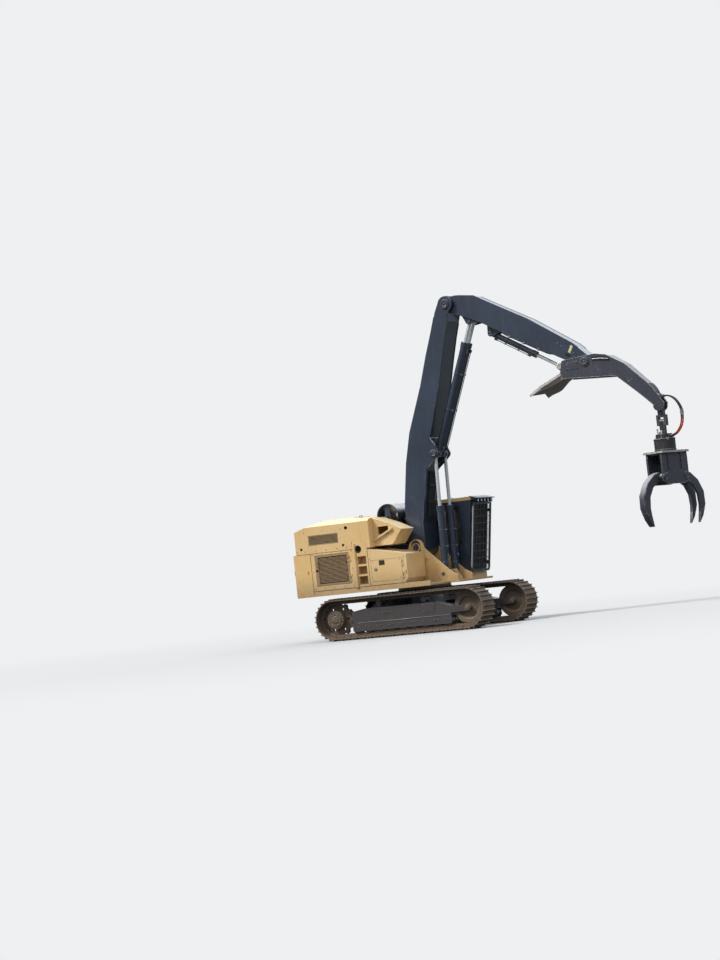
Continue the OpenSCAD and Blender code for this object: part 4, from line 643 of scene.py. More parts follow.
def buildHose(name, row, side, sign):
    path = [row["pin"] + Vector((x / 1000, sign * row["y"], z / 1000)) for x, z in row["route"]]
    sleeve = row.get("sleeve")
    shape = Build()
    shape.tube(smoothPath(path, 2), hoseRadius, 12, sleeve)
    look = "sleeved_hose" if sleeve else "hose_rubber"
    hose = shape.piece(row["piece"] + side.title(), None, look, angle=60)
    joints = [buildHoseJoint(side, path[-1])] if row["end"] == "fitting" else []
    length = sum((b - a).length for a, b in zip(path, path[1:]))
    cordLengths[name] = round(length, 3)
    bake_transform(hose)
    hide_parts(name + "_" + side)


for name, row in hoseRows.items():
    for side, sign in (("left", 1), ("right", -1)):
        buildHose(name, row, side, sign)
print("cords laid", cordLengths)


# House: bolts and seams on the yellow panels, each bolt row as its height and places along x
halfWidth = 1.55
panels = {"bolt": (0.010, 0.008), "seam": 0.009, "out": halfWidth + 0.003, "back": halfWidth - 0.004,
          "right": {1.40: (-2.41, -2.12, -1.83, -1.54, -1.25), 1.85: (-2.41, -1.25),
                    2.30: (-2.41, -1.25), 2.302: (-2.12, -1.83, -1.54)},
          "left": {1.40: (-2.42, -2.1, -1.8, -1.4, -1.0, -0.72), 2.28: (-2.42, -2.1, -0.72),
                   2.30: (-1.8, -1.4, -1.0)},
          "hood": {2.40: (-2.86, -2.62, -2.30, -1.98, -1.66, -1.36), 2.90: (-2.60, -2.04, -1.50)},
          "box": {1.385: (-0.30, 0.16), 1.39: (-0.735,), 1.55: (0.255,), 2.00: (0.255,), 2.03: (-0.735,)},
          "boxLid": {"x": (-0.56, -0.34, -0.12), "start": (-0.77, 2.3), "fall": 0.23 / 1.1}}


def buildPanelBolts():
    shape = Build()
    for side, keys in ((-1, ("right", "hood", "box")), (1, ("left", "hood"))):
        for z, places in (pair for key in keys for pair in panels[key].items()):
            for x in places:
                shape.bolt((x, side * halfWidth, z), (0, side, 0), *panels["bolt"])
    lid = panels["boxLid"]
    (x0, z0), fall = lid["start"], lid["fall"]
    for x in lid["x"]:
        shape.bolt((x, -1.40, z0 - (x - x0) * fall), (0.2, 0, 1), 0.009, 0.007)
    shape.piece("panelBolts", "house", "bolt", 0.001, 1)


def buildPanelSeams():
    shape = Build()
    half, out, back = panels["seam"] / 2, panels["out"], panels["back"]
    for side, end, posts in ((-1, -1.2, ((-2.47, 1.25, 2.33), (-1.2, 1.33, 2.52))),
                             (1, -0.67, ((-2.47, 1.25, 2.33), (-0.672, 1.33, 2.33)))):
        shape.block((-2.87, side * back, 2.33 - half), (end, side * out, 2.33 + half))
        for x, foot, top in posts:
            shape.block((x - half, side * back, foot), (x + half, side * out, top))
    shape.block((-0.774 - half, -out, 1.33), (-0.774 + half, -back, 2.30))
    shape.block((-2.47, -out, 1.332), (0.21, -back, 1.344))
    arc = [math.radians(a) for a in range(153, 208, 3)]
    shape.tube([(3.286 * math.cos(a), 3.286 * math.sin(a), 2.334) for a in arc], 0.010, 6)
    for y in (-0.62, 0.62):  # joints of the counterweight's cast blocks
        shape.block((-3.3055, y - 0.005, 1.22), (-3.30, y + 0.005, 2.31))
    shape.piece("panelSeams", "house", "seal")


latches = {"radius": 0.034, "hood": [(-2.72, 2.47), (-1.46, 2.47)], "radiatorDoor": (-2.305, 1.87),
           "serviceDoor": (-0.86, 1.86), "plate": (-2.305, 2.19), "stays": (1.64, 1.83, 2.02),
           "boxBolts": [(-0.66, 1.48), (0.13, 1.48), (-0.66, 1.94), (0.13, 1.94)]}


def addLatch(shape, x, z, side):  # a sunk cup with a bar across it
    radius, y = latches["radius"], side * halfWidth
    shape.turned((x, y, z), (0, side, 0), [(0, 0.003), (radius - 0.008, 0.003), (radius - 0.005, 0.007),
                                           (radius, 0.005), (radius, -0.003)], 24)
    shape.block((x - 0.009, y + side * 0.002, z - 0.022), (x + 0.009, y + side * 0.011, z + 0.022))


def buildLatches():
    shape = Build()
    for side in bothSides:
        for x, z in latches["hood"]:
            addLatch(shape, x, z, side)
    shape.piece("hoodLatches", "house", "seal", 0.0015)


def buildRadiatorDoorFittings():
    door, stays, plate = Build(), Build(), Build()
    x, z = latches["radiatorDoor"]
    addLatch(door, x, z, -1)
    pull = [(0, 0.09), (0.03, 0.1), (0.034, 0.16), (0.03, 0.22), (0, 0.23)]
    door.tube([(x + 0.028, -halfWidth - out, z + rise) for out, rise in pull], 0.006)
    door.piece("radiatorDoorLatch", "radiator_door", "seal", 0.0015)
    for z in latches["stays"]:
        stays.block((-1.435, -halfWidth - 0.003, z - 0.010), (-1.385, -halfWidth + 0.002, z + 0.010))
    stays.piece("radiatorDoorStays", "radiator_door", "seal", 0.002)
    x, z = latches["plate"]
    plate.block((x - 0.034, -halfWidth - 0.0025, z - 0.02), (x + 0.034, -halfWidth + 0.001, z + 0.02))
    plate.piece("radiatorDoorPlate", "radiator_door", "plated", 0.001)


def buildServiceDoorFittings():
    shape = Build()
    addLatch(shape, *latches["serviceDoor"], 1)
    pull = [(0, 2.0), (0.035, 2.01), (0.035, 2.14), (0, 2.15)]
    shape.tube([(-0.84, halfWidth + out, z) for out, z in pull], 0.006)
    shape.piece("serviceDoorLatch", "service_door", "seal", 0.0015)


def buildDeckBoxFittings():
    lock, vent = Build(), Build()
    for x in (-0.612, -0.548):
        lock.block((x - 0.006, -halfWidth - 0.012, 1.72), (x + 0.006, -halfWidth + 0.002, 1.78))
    lock.rod((-0.62, -halfWidth - 0.008, 1.75), (-0.54, -halfWidth - 0.008, 1.75), 0.009)
    lock.block((-0.60, -halfWidth - 0.004, 1.70), (-0.56, -halfWidth + 0.002, 1.80))
    for x, z in latches["boxBolts"]:
        lock.bolt((x, -halfWidth, z), (0, -1, 0), 0.008, 0.006)
    lock.piece("deckBoxLatch", "deck_box_door", "plated", 0.001)
    for z in (1.852 + i * 0.0175 for i in range(7)):
        vent.block((-0.468, -halfWidth + 0.012, z), (-0.307, -halfWidth + 0.026, z + 0.008))
    vent.piece("deckBoxVent", "deck_box_door", "seal")


# Wire meshes: name, body, axis across the sheet, reach along, reach up and depth
wires = {"pitch": 0.022, "thick": 0.0026,
         "sheets": [("hoodMeshRight", "house", 1, (-2.48, -1.59), (2.54, 2.805), -1.521),
                    ("hoodMeshLeft", "house", 1, (-2.48, -1.59), (2.54, 2.805), 1.521),
                    ("radiatorMesh", "radiator_door", 1, (-2.262, -1.39), (1.52, 2.215), -1.520),
                    ("rearMesh", "house", 0, (-0.9, 0.9), (2.48, 2.74), -3.200)]}
cooler = {"fins": 58, "first": -2.28, "step": 0.0158, "thick": 0.004}


def buildWires():
    half, pitch = wires["thick"] / 2, wires["pitch"]
    for name, body, axis, (left, right), (foot, top), middle in wires["sheets"]:
        shape, depth = Build(), (middle - half, middle + half)
        for a in (left + i * pitch for i in range(1, int((right - left) / pitch))):
            shape.slab(axis, depth, (a - half, foot), (a + half, top))
        for z in (foot + i * pitch for i in range(1, int((top - foot) / pitch))):
            shape.slab(axis, depth, (left, z - half), (right, z + half))
        shape.piece(name, body, "mesh_paint")


def buildLinings():  # sound lining behind the hood's grilles
    shape = Build()
    for y in (-1.475, 1.475):
        shape.block((-2.52, y - 0.006, 2.50), (-1.55, y + 0.006, 2.84))
    shape.block((-3.135, -0.94, 2.44), (-3.123, 0.94, 2.78))
    shape.piece("grilleLiners", "house", "lining")


def buildCooler():  # fins behind the right door
    shape = Build()
    shape.block((-2.30, -1.40, 1.50), (-1.36, -1.38, 2.25))
    for x in (cooler["first"] + i * cooler["step"] for i in range(cooler["fins"])):
        shape.block((x, -1.45, 1.52), (x + cooler["thick"], -1.40, 2.23))
    for z in (1.50, 2.23):
        shape.block((-2.31, -1.47, z), (-1.35, -1.38, z + 0.03))
    shape.piece("coolerFins", "house", "fins")


ladder = {"levels": (1.42, 1.68, 1.94), "x": (-1.079, -0.834), "teeth": 15, "tooth": 0.012,
          "rows": (0.02, 0.07, 0.12)}
filler = {"x": -1.04, "z": 2.32, "radius": 0.078}


def buildLadder():
    shape, (x0, x1), tooth = Build(), ladder["x"], ladder["tooth"]
    step = (x1 - x0 - 0.012 - tooth) / (ladder["teeth"] - 1)
    for z in ladder["levels"]:
        shape.block((x0, -halfWidth - 0.006, z - 0.012), (x1, -halfWidth + 0.014, z + 0.010))
        for row in ladder["rows"]:
            for x in (x0 + 0.006 + i * step for i in range(ladder["teeth"])):
                shape.block((x, -halfWidth + row, z), (x + tooth * 0.6, -halfWidth + row + 0.03, z + 0.009))
        shape.block((x0, -halfWidth - 0.004, z + 0.176), (x1, -halfWidth + 0.012, z + 0.192))
    shape.piece("ladderTreads", "house", "rust", 0.0015, 1)


def buildFiller():
    shape, x, z, radius = Build(), filler["x"], filler["z"], filler["radius"]
    rim = [(radius - 0.004, -0.05), (radius - 0.004, 0.006), (radius + 0.004, 0.011),
           (radius + 0.016, 0.008), (radius + 0.018, -0.002)]
    cap = [(0, 0.012), (0.03, 0.014), (radius - 0.012, 0.008), (radius - 0.006, -0.02)]
    shape.turned((x, -halfWidth, z), (0, -1, 0), rim, 40)
    shape.turned((x, -1.47, z), (0, -1, 0), cap, 32)
    shape.block((x - 0.05, -1.505, z - 0.008), (x + 0.05, -1.48, z + 0.008))
    shape.piece("fillerPort", "house", "seal", 0.001)


roof = {"z": 3.16, "hatchX": (-2.02, -1.32), "hatchY": ((-1.02, -0.08), (0.08, 1.02)), "lift": 0.014,
        "eyes": [(-2.28, -1.1), (-2.28, 1.1), (-1.1, -1.1), (-1.1, 1.1)],
        "flatX": (-2.15, -1.26), "fallBehind": 0.32, "fallBefore": 0.119}
weight = {"radius": 3.36, "boltY": (-0.9, -0.3, 0.3, 0.9), "boltZ": (1.42, 2.02), "eyeY": 1.25}
tailLamp = {"y": 1.28, "z": 1.86, "housing": (0.055, 0.075), "lens": (0.042, 0.062)}
reflectors = {"places": ((0.272, -1, 1.57), (-2.60, -1, 1.80), (-2.60, 1, 1.80)), "size": (0.04, 0.09)}


def buildRoof():
    lid, seal, steel = Build(), Build(), Build()
    (x0, x1), top = roof["hatchX"], roof["z"]
    for y0, y1 in roof["hatchY"]:
        lid.block((x0, y0, top), (x1, y1, top + roof["lift"]))
        seal.block((x0 - 0.012, y0 - 0.012, top - 0.004), (x1 + 0.012, y1 + 0.012, top + 0.004))
        for y in (y0 + 0.15, y1 - 0.15):
            steel.rod((x0 - 0.012, y - 0.05, top + 0.010), (x0 - 0.012, y + 0.05, top + 0.010), 0.009)
            steel.block((x0 - 0.01, y - 0.05, top + 0.008), (x0 + 0.05, y + 0.05, top + 0.018))
        steel.eye((x1 - 0.05, (y0 + y1) / 2, top), (0.08, 0.012), (0.075, 0.045), 0.05, 0.007)
    lid.piece("roofHatches", "house", "yellow_paint", 0.006, 3)
    seal.piece("roofHatchSeals", "house", "seal")
    behind, before = roof["flatX"]
    for x, y in roof["eyes"]:  # the hood falls behind and before its flat middle
        z = top - max(0, behind - x) * roof["fallBehind"] - max(0, x - before) * roof["fallBefore"]
        steel.block((x - 0.05, y - 0.03, z - 0.004), (x + 0.05, y + 0.03, z + 0.008))
        steel.eye((x, y, z), (0.03, 0), (0.028, 0.035), 0.055, 0.008, axis=0)
    steel.piece("roofFittings", "house", "bolt", 0.001, 1)


def weightAt(y):  # the counterweight's round back at y
    return -math.sqrt(weight["radius"] ** 2 - y * y)


def buildWeightBolts():
    shape = Build()
    for side in bothSides:
        shape.eye((-2.84, side * weight["eyeY"], 2.25), (0.03, 0), (0.028, 0.04), 0.065, 0.010)
    washer = [(0, 0.002), (0.045, 0.004), (0.05, 0.012), (0.06, 0.012), (0.064, -0.01)]
    for x, y in ((weightAt(y), y) for y in weight["boltY"]):
        for z in weight["boltZ"]:
            shape.turned((x, y, z), (x, y, 0), washer, 28)
            shape.rod((x * 0.998, y * 0.998, z), (x * 1.006, y * 1.006, z), 0.028, 6)
    shape.piece("weightBolts", "house", "track_steel", 0.001, 1)


def buildTailLamps():
    housing, lens = Build(), Build()
    (a, b), (c, d) = tailLamp["housing"], tailLamp["lens"]
    for y in (side * tailLamp["y"] for side in bothSides):
        out = Vector((weightAt(y), y, 0))
        turn = placed((out.x, y, tailLamp["z"])) @ out.to_track_quat("Z", "Y").to_matrix().to_4x4()
        housing.at(turn).block((-a, -b, -0.01), (a, b, 0.022))
        lens.at(turn).block((-c, -d, 0.018), (c, d, 0.030))
    housing.piece("tailLampHousings", "house", "seal", 0.006)
    lens.piece("tailLampLenses", "house", "red", 0.006, 3)


def buildSideReflectors():
    shape, (long, high) = Build(), reflectors["size"]
    for x, side, z in reflectors["places"]:
        shape.block((x, side * (halfWidth - 0.001), z), (x + long, side * (halfWidth + 0.003), z + high))
    shape.piece("sideReflectors", "house", "amber", 0.001)


tower = {"pocket": {"x": 0.10, "z": 2.20, "half": 0.06, "radius": 0.133, "y": (0.4525, 0.4575)},
         "hoist": (0.80, 1.44),
         "arch": {"middle": (-0.56, 3.12), "radius": 0.302, "ends": (-0.60, 0.48),
                  "boltY": (-0.45, -0.06, 0.33)}}


def buildTower():
    liner, caps, row = Build(), Build(), tower["pocket"]
    x, z = tower["hoist"]
    turns = [math.radians(a) for a in range(0, 360, 12)]
    oval = [(row["x"] + row["radius"] * math.cos(t),
             row["z"] + math.copysign(row["half"], math.sin(t)) + row["radius"] * math.sin(t)) for t in turns]
    liner.plates(oval, *row["y"])
    caps.pins([(row["x"], 0.477, row["z"], 0.085, (0.3, 0, 1))])
    caps.pins([(x, y, z, 0.05, (0.4, 0, 1)) for y in (-0.154, 0.453)])  # the first pair faces inward
    liner.piece("footPocketLiners", "house", "black_paint")
    caps.piece("towerPins", "house", "worn_steel", 0.002)


def buildHoseGuardTrim():
    shape, row = Build(), tower["arch"]
    x, z = row["middle"]
    for y in row["ends"]:
        shape.tube(arcAt((x, z), row["radius"], y, 10, (-20, 201)), 0.012, 8)
    for y in row["boltY"]:
        for spot in arcAt((x, z), row["radius"] - 0.002, y, 60, (30, 151)):
            shape.bolt(spot, Vector(spot) - Vector((x, y, z)), 0.010, 0.008)
    shape.piece("hoseGuardTrim", "house", "black_paint", 0.001, 1)


# Cab: lamps, seals, wiper, guard, handles, roof hatch and what stands inside
cab = {"mid": 1.07, "front": 1.08, "low": 1.45, "lean": 8, "side": 1.618, "glassBar": 0.016,
       "rails": ((-0.27, 1.75, 2.75), (0.97, 1.70, 2.35)),
       "wiperFoot": (1.07, 1.72), "wiperTip": (1.22, 2.62)}
cabFrame = placed((cab["front"], cab["mid"], cab["low"]), cab["lean"])
lamps = {"z": 3.275, "visorZ": 3.30, "out": 0.165, "step": 0.21, "lens": 0.047}
cabStep = {"x": (0.10, 0.70), "y": (1.615, 1.70), "z": (1.205, 1.225), "teeth": 18, "first": 0.115,
           "step": 0.032, "tooth": 0.015, "brackets": (0.12, 0.66)}
guard = {"high": 1.81 / math.cos(math.radians(cab["lean"])), "boltX": 0.106, "bars": (32, 54), "half": 0.0022,
         "thick": 0.004}


def cabFront(z):
    return cab["front"] + (z - cab["low"]) * math.tan(math.radians(cab["lean"]))


def buildLamps():
    lens, bezel, radius = Build(), Build(), lamps["lens"]
    x, z = cabFront(lamps["visorZ"]) + lamps["out"], lamps["z"]
    dome = [(0, 0.014), (0.02, 0.012), (0.036, 0.007), (radius, 0.0), (radius, -0.004)]
    rim = [(radius - 0.001, -0.002), (radius, 0.006), (0.053, 0.007), (0.0565, 0.002), (0.0565, -0.03)]
    for y in (cab["mid"] + i * lamps["step"] for i in range(-2, 3)):
        lens.turned((x, y, z), axisX, dome, 28)
        bezel.turned((x, y, z), axisX, rim, 28)
        bezel.rod((x - 0.10, y, z), (x - 0.068, y, z), 0.03, 16, 0.05)
    lens.piece("lampLenses", "house", "lamp", angle=60)
    bezel.piece("lampBezels", "house", "seal")


def buildCabSeals():
    seal, door, bar = Build(), Build(), cab["glassBar"]
    seal.frameOf((-0.25, 2.18), (0.96, 3.18), bar, 1, (0.514, 0.528))
    seal.frameOf((0.70, 2.35), (1.44, 3.15), bar, 0, (-0.456, -0.44))
    seal.piece("windowSeals", "house", "seal", 0.002)
    door.frameOf((-0.06, 2.18), (0.79, 3.10), bar, 1, (1.612, 1.626))
    door.piece("doorSeal", "cab_door", "seal", 0.002)


def buildCabHandles():
    handle, rail, side = Build(), Build(), cab["side"]
    handle.rod((0.79, side, 2.02), (0.79, side + 0.022, 2.02), 0.016, 20)
    handle.block((0.70, side + 0.018, 2.008), (0.80, side + 0.030, 2.032))
    handle.piece("doorHandle", "cab_door", "plated", 0.002)
    for x, foot, top in cab["rails"]:
        spots = [(0, foot), (0.037, foot + 0.01), (0.047, foot + 0.05), (0.047, (foot + top) / 2),
                 (0.047, top - 0.05), (0.037, top - 0.01), (0, top)]
        rail.tube(smoothPath([(x, side + out, z) for out, z in spots]), 0.014, 10)
        for z in (foot, top):
            rail.rod((x, side, z), (x, side + 0.006, z), 0.03)
    rail.piece("cabGrabRails", "house", "black_paint", 0.001)


def buildCabStep():
    shape, row = Build(), cabStep
    (x0, x1), (y0, y1), (z0, z1) = row["x"], row["y"], row["z"]
    shape.block((x0, y0, z0), (x1, y1, z1))
    for x in (row["first"] + i * row["step"] for i in range(row["teeth"])):
        shape.block((x, y0 + 0.01, z1), (x + row["tooth"], y1 - 0.005, z1 + 0.007))
    for x in row["brackets"]:
        shape.block((x, y0, z0), (x + 0.02, y1, z0 + 0.055))
    shape.piece("cabStep", "house", "worn_steel", 0.002)


def buildWiper():
    shape = Build()
    (y0, z0), (y1, z1) = cab["wiperFoot"], cab["wiperTip"]
    foot, tip = Vector((cabFront(z0) - 0.022, y0, z0)), Vector((cabFront(z1) - 0.016, y1, z1))
    shape.rod(foot - axisX * 0.02, foot + axisX * 0.012, 0.02, 16)
    shape.tube([foot, foot.lerp(tip, 0.5) + axisX * 0.012, tip], 0.006, 6)
    blade = [tip - Vector((0.0336, 0, 0.30)), tip - axisX * 0.006, tip + Vector((0.036, 0, 0.26))]
    shape.tube(blade, 0.007, 6)
    shape.piece("wiper", "house", "seal")


def buildGuard():  # bolts and a wire mesh on the barred guard, and the pale strip down its edge
    shape, strip = Build(cabFrame @ Matrix.Translation((0, 0, -0.03))), Build(cabFrame)
    high, x, half, thick = guard["high"], guard["boltX"], guard["half"], guard["thick"]
    spots = [(y, 0.16 + i * (high - 0.26) / 5) for y in (-0.53, 0.53) for i in range(6)]
    spots += [(-0.4 + i * 0.2, z) for i in range(5) for z in (high - 0.025, 0.03)]
    for y, z in spots:
        shape.bolt((x, y, z), axisX, 0.010, 0.008)
    upright, level = guard["bars"]
    for y in (-0.5 + i / upright for i in range(1, upright)):
        shape.block((0.093 - thick, y - half, 0.06), (0.093, y + half, high - 0.06))
    for z in (0.06 + i * (high - 0.12) / level for i in range(1, level)):
        shape.block((0.0935, -0.5, z - half), (0.0935 + thick, 0.5, z + half))
    shape.piece("guardMesh", "house", "guard")
    strip.block((0.070, -0.5640, 0.10), (0.100, -0.5585, high - 0.12))
    strip.piece("guardEdgeStrip", "house", "pale", 0.001)


def buildCabRoof():
    hatch, seal, steel = Build(), Build(), Build()
    hatch.block((-0.02, 0.78, 3.388), (0.62, 1.36, 3.405))
    seal.block((-0.035, 0.765, 3.386), (0.635, 1.375, 3.394))
    steel.eye((0.52, cab["mid"], 3.40), (0.12, 0), (0.115, 0.03), 0.035, 0.008)
    for y in (0.9, 1.24):
        steel.rod((-0.03, y - 0.05, 3.40), (-0.03, y + 0.05, 3.40), 0.010)
    for x in (-0.36, 1.18):
        for y in (0.58, 1.56):
            steel.bolt((x, y, 3.388), axisZ, 0.014, 0.012)
    hatch.piece("cabHatch", "house", "yellow_paint", 0.006, 3)
    seal.piece("cabHatchSeal", "house", "seal")
    steel.piece("cabRoofFittings", "house", "bolt", 0.001, 1)


lever = [(0, 0.12), (0.016, 0.118), (0.027, 0.10), (0.024, 0.06), (0.028, 0.02), (0.018, 0.0), (0, -0.004)]
inside = {"consoles": (0.815, 1.325), "pedals": (0.98, 1.16), "switches": 4,
          "seatBase": [((0.05, 0.87, 1.51), (0.45, 1.27, 1.60)), ((0.11, 0.93, 1.60), (0.39, 1.21, 1.76)),
                       ((0.03, 0.86, 1.76), (0.48, 1.28, 1.83))]}
# Seat pads: name, middle in x and z, lean, reach in x and y, crown and fill
padRows = (("seatCushion", 0.25, 1.895, 0, (-0.25, 0.26), 0.25, 0.062, 0.65),
           ("seatBack", -0.035, 2.23, -98, (-0.31, 0.30), 0.235, 0.055, 0.6),
           ("seatHead", -0.080, 2.585, -98, (-0.05, 0.05), 0.14, 0.045, 0.6))
padCells = 18


def buildConsoles():
    shape, screen = Build(), Build()
    for y in inside["consoles"]:
        shape.block((-0.02, y - 0.075, 1.83), (0.62, y + 0.075, 2.02))
        shape.block((0.16, y - 0.06, 1.51), (0.42, y + 0.06, 1.83))
        shape.tube(smoothPath([(0.53, y, 2.01), (0.54, y, 2.08), (0.56, y, 2.14)]), 0.010, 10)
        shape.turned((0.56, y, 2.13), (0.15, 0, 1), lever, 20)
        for x in (0.10 + i * 0.07 for i in range(inside["switches"])):
            shape.block((x, y - 0.02, 2.02), (x + 0.035, y + 0.02, 2.035))
    for y in inside["pedals"]:
        shape.at(placed((0.90, y, 1.58), -35))
        shape.block((-0.11, -0.045, -0.01), (0.11, 0.045, 0.01))
        shape.rod((0.02, 0, 0), (0.02, 0, -0.07), 0.012)
    shape.at(Matrix())
    shape.block((0.98, 0.60, 2.10), (1.02, 0.82, 2.30))
    shape.rod((1.00, 0.62, 1.60), (1.00, 0.62, 2.15), 0.014)
    shape.piece("cabConsoles", "house", "seat_vinyl", 0.008, 3)
    screen.block((0.974, 0.615, 2.115), (0.981, 0.805, 2.285))
    screen.piece("cabScreen", "house", "dark_glass", 0.002)


def buildSeat():
    base = Build()
    for low, high in inside["seatBase"]:
        base.block(low, high)
    base.piece("seatBase", "house", "seal", 0.012, 3)
    pads = [buildPad(*row) for row in padRows]
    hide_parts("seat")


def buildPad(name, x, z, lean, reach, half, crown, fill):  # crowned, with two sewn channels
    shape, grid, local = Build(), {}, placed((x, cab["mid"], z), lean)
    cells = range(padCells + 1)
    for side in (1, -1):
        for i, j in ((i, j) for i in cells for j in cells):
            u, v = i / padCells * 2 - 1, j / padCells * 2 - 1
            if side < 0 and (abs(u) == 1 or abs(v) == 1):
                grid[side, i, j] = grid[1, i, j]
                continue
            pull = 1 - 0.05 * (1 - abs(abs(u) - abs(v))) * max(abs(u), abs(v)) ** 6
            full = (1 - u ** 6) ** 0.5 * (1 - v ** 6) ** 0.5
            channel = math.exp(-((abs(v) - 0.42) / 0.07) ** 2) * 0.25
            rise = full * (1 - channel) if side > 0 else -0.55 * full
            across = sum(reach) / 2 + u * (reach[1] - reach[0]) / 2 * pull
            grid[side, i, j] = shape.bm.verts.new(local @ Vector((across, v * half * pull, rise * crown)))
    for side in (1, -1):
        for i, j in ((i, j) for i in cells[:-1] for j in cells[:-1]):
            corners = [grid[side, i + a, j + b] for a, b in ((0, 0), (1, 0), (1, 1), (0, 1))]
            shape.bm.faces.new(corners if side > 0 else corners[::-1])
    pad = shape.piece(name, "house", "seat_vinyl", angle=80)
    step = pad.modifiers.new("smooth", "SUBSURF")
    step.levels = step.render_levels = 1
    with bpy.context.temp_override(object=pad, active_object=pad, selected_objects=[pad]):
        bpy.ops.object.modifier_apply(modifier=step.name)
    return pad


# Boom and stick, each in its arm's frame: plate edges with their welds, lines, clamps and pin ends
boom = {"half": 0.385, "edge": 0.024, "lip": 0.014, "weld": 0.006, "face": 0.386,
        "back": [(0.42, 0.33), (0.70, 0.425), (1.10, 0.497), (2.15, 0.592), (2.95, 0.592), (4.20, 0.425),
                 (5.00, 0.367), (5.60, 0.300), (6.02, 0.2655)],
        "belly": [[(0.70, -0.085), (1.10, -0.045), (1.96, 0.004)],
                  [(2.97, 0.004), (4.20, -0.075), (5.00, -0.072), (5.60, -0.083), (5.94, -0.103)]],
        "doubler": [(0.15, 0.15), (0.90, 0.43), (1.33, 0.36), (0.95, 0.06), (0.15, -0.15), (0.15, 0.15)],
        "bosses": [((6.388, 0), 0.123), ((2.50, -0.165), 0.098)],
        "pins": [(6.388, 0.410, 0, 0.092, (-1, 0, -0.2)), (2.50, 0.405, -0.165, 0.072, (0.3, 0, 1))]}
boomLines = {"radius": 0.0185, "y": (-0.1125, -0.0375, 0.0375, 0.1125), "boltY": (-0.13, -0.045, 0.045, 0.13),
             "clamps": (2.55, 3.15, 3.72, 4.32, 4.92, 5.42), "block": (5.70, 0, 0.298),
             "route": [(2.20, 0.6305), (2.34, 0.6335), (2.88, 0.6335), (3.06, 0.618), (4.12, 0.476),
                       (4.28, 0.458), (4.95, 0.409), (5.06, 0.399), (5.52, 0.347), (5.63, 0.335)]}
footLines = {"radius": 0.021, "y": (-0.16, -0.08, 0, 0.08, 0.16), "clamps": (1.22, 1.66),
             "route": [(0.80, -0.055), (0.86, -0.118), (1.10, -0.086), (1.90, -0.040), (1.97, -0.036),
                       (2.02, 0.004)]}
stick = {"half": 0.28, "edge": 0.022, "lip": 0.012, "weld": 0.006,
         "top": [(0.10, 0.262), (0.25, 0.33), (0.64, 0.468), (1.005, 0.458), (2.288, 0.44), (3.675, 0.302),
                 (3.86, 0.253)],
         "belly": [(1.78, -0.121), (2.288, -0.135), (3.28, -0.1515)],
         "pins": [(0.736, 0.222, -0.178, 0.060, (0.2, 0, 1)), (1.40, 0.122, -0.275, 0.055, (0.2, 0, 1))],
         "route": [(1.74, -0.110), (1.82, -0.150), (2.288, -0.162), (3.12, -0.176), (3.20, -0.140)],
         "lineY": (-0.235, -0.198, 0.198, 0.235), "clamps": (1.98, 2.42, 2.86),
         "endBolts": ((3.30, 0.16), (3.42, 0.13), (3.80, 0.09)),
         "reflector": [(3.655, 0.245), (3.725, 0.235), (3.725, 0.045), (3.655, 0.055)],
         "bracket": [(3.60, 0.025), (3.72, 0.015), (3.74, -0.04), (3.60, -0.03)]}


def alongPath(path, u):  # height and slope of a path at u
    for (a, x), (b, y) in zip(path, path[1:]):
        if a <= u <= b:
            return x + (y - x) * (u - a) / (b - a), math.atan2(y - x, b - a)


def addLips(shape, row, path, upward):
    lip, edge, half = row["lip"] * upward, row["edge"], row["half"]
    outline = path + [(u, v + lip) for u, v in path[::-1]]
    shape.plates(outline, half - edge, half)
    shape.tubes([(u, half - edge - 0.002, v + 0.002 * upward) for u, v in path], row["weld"])


def addClamps(shape, local, path, places, ys, upward, base):
    top = 0.026 * upward
    for u in places:
        v, slope = alongPath(path, u)
        shape.at(local @ placed((u, 0, v), -math.degrees(slope)))
        shape.block((-0.028, ys[0] - 0.045, -base * upward), (0.028, ys[-1] + 0.045, top))
        for y in (ys[0] - 0.028, (ys[0] + ys[-1]) / 2, ys[-1] + 0.028):
            shape.bolt((0, y, top), (0, 0, upward), 0.011, 0.010)
    shape.at(local)


def buildBoomEdges():
    shape = Build(boomArm)
    addLips(shape, boom, boom["back"], 1)
    for part in boom["belly"]:
        addLips(shape, boom, part, -1)
    shape.tubes([(u, 0.3865, v) for u, v in boom["doubler"]], boom["weld"])
    for centre, radius in boom["bosses"]:
        shape.tubes(arcAt(centre, radius, boom["face"]), 0.007)
    shape.piece("boomPlateEdges", "boom", "black_paint", 0.002, 1)


def buildBoomPins():
    shape = Build(boomArm)
    shape.pins(boom["pins"])
    shape.piece("boomPins", "boom", "worn_steel", 0.002, 1)


def buildBoomLines():
    lines, clamps, row = Build(boomArm), Build(boomArm), boomLines
    path = smoothPath(row["route"])
    for y in row["y"]:
        lines.tube(sideways(path, y), row["radius"], 12)
        clamps.rod((2.205, y, 0.631), (2.262, y, 0.6335), 0.028, 6)
        clamps.rod((5.60, y, 0.338), (5.66, y, 0.331), 0.027, 6)
    lines.piece("boomLines", "boom", "black_paint", angle=60)
    addClamps(clamps, boomArm, row["route"], row["clamps"], row["y"], 1, 0.046)
    clamps.at(boomArm @ placed(row["block"], 5))
    clamps.block((-0.05, -0.17, -0.02), (0.06, 0.17, 0.065))
    for y in row["boltY"]:
        clamps.bolt((0.005, y, 0.065), axisZ, 0.011, 0.012)
    clamps.piece("boomLineClamps", "boom", "black_paint", 0.003, 1)


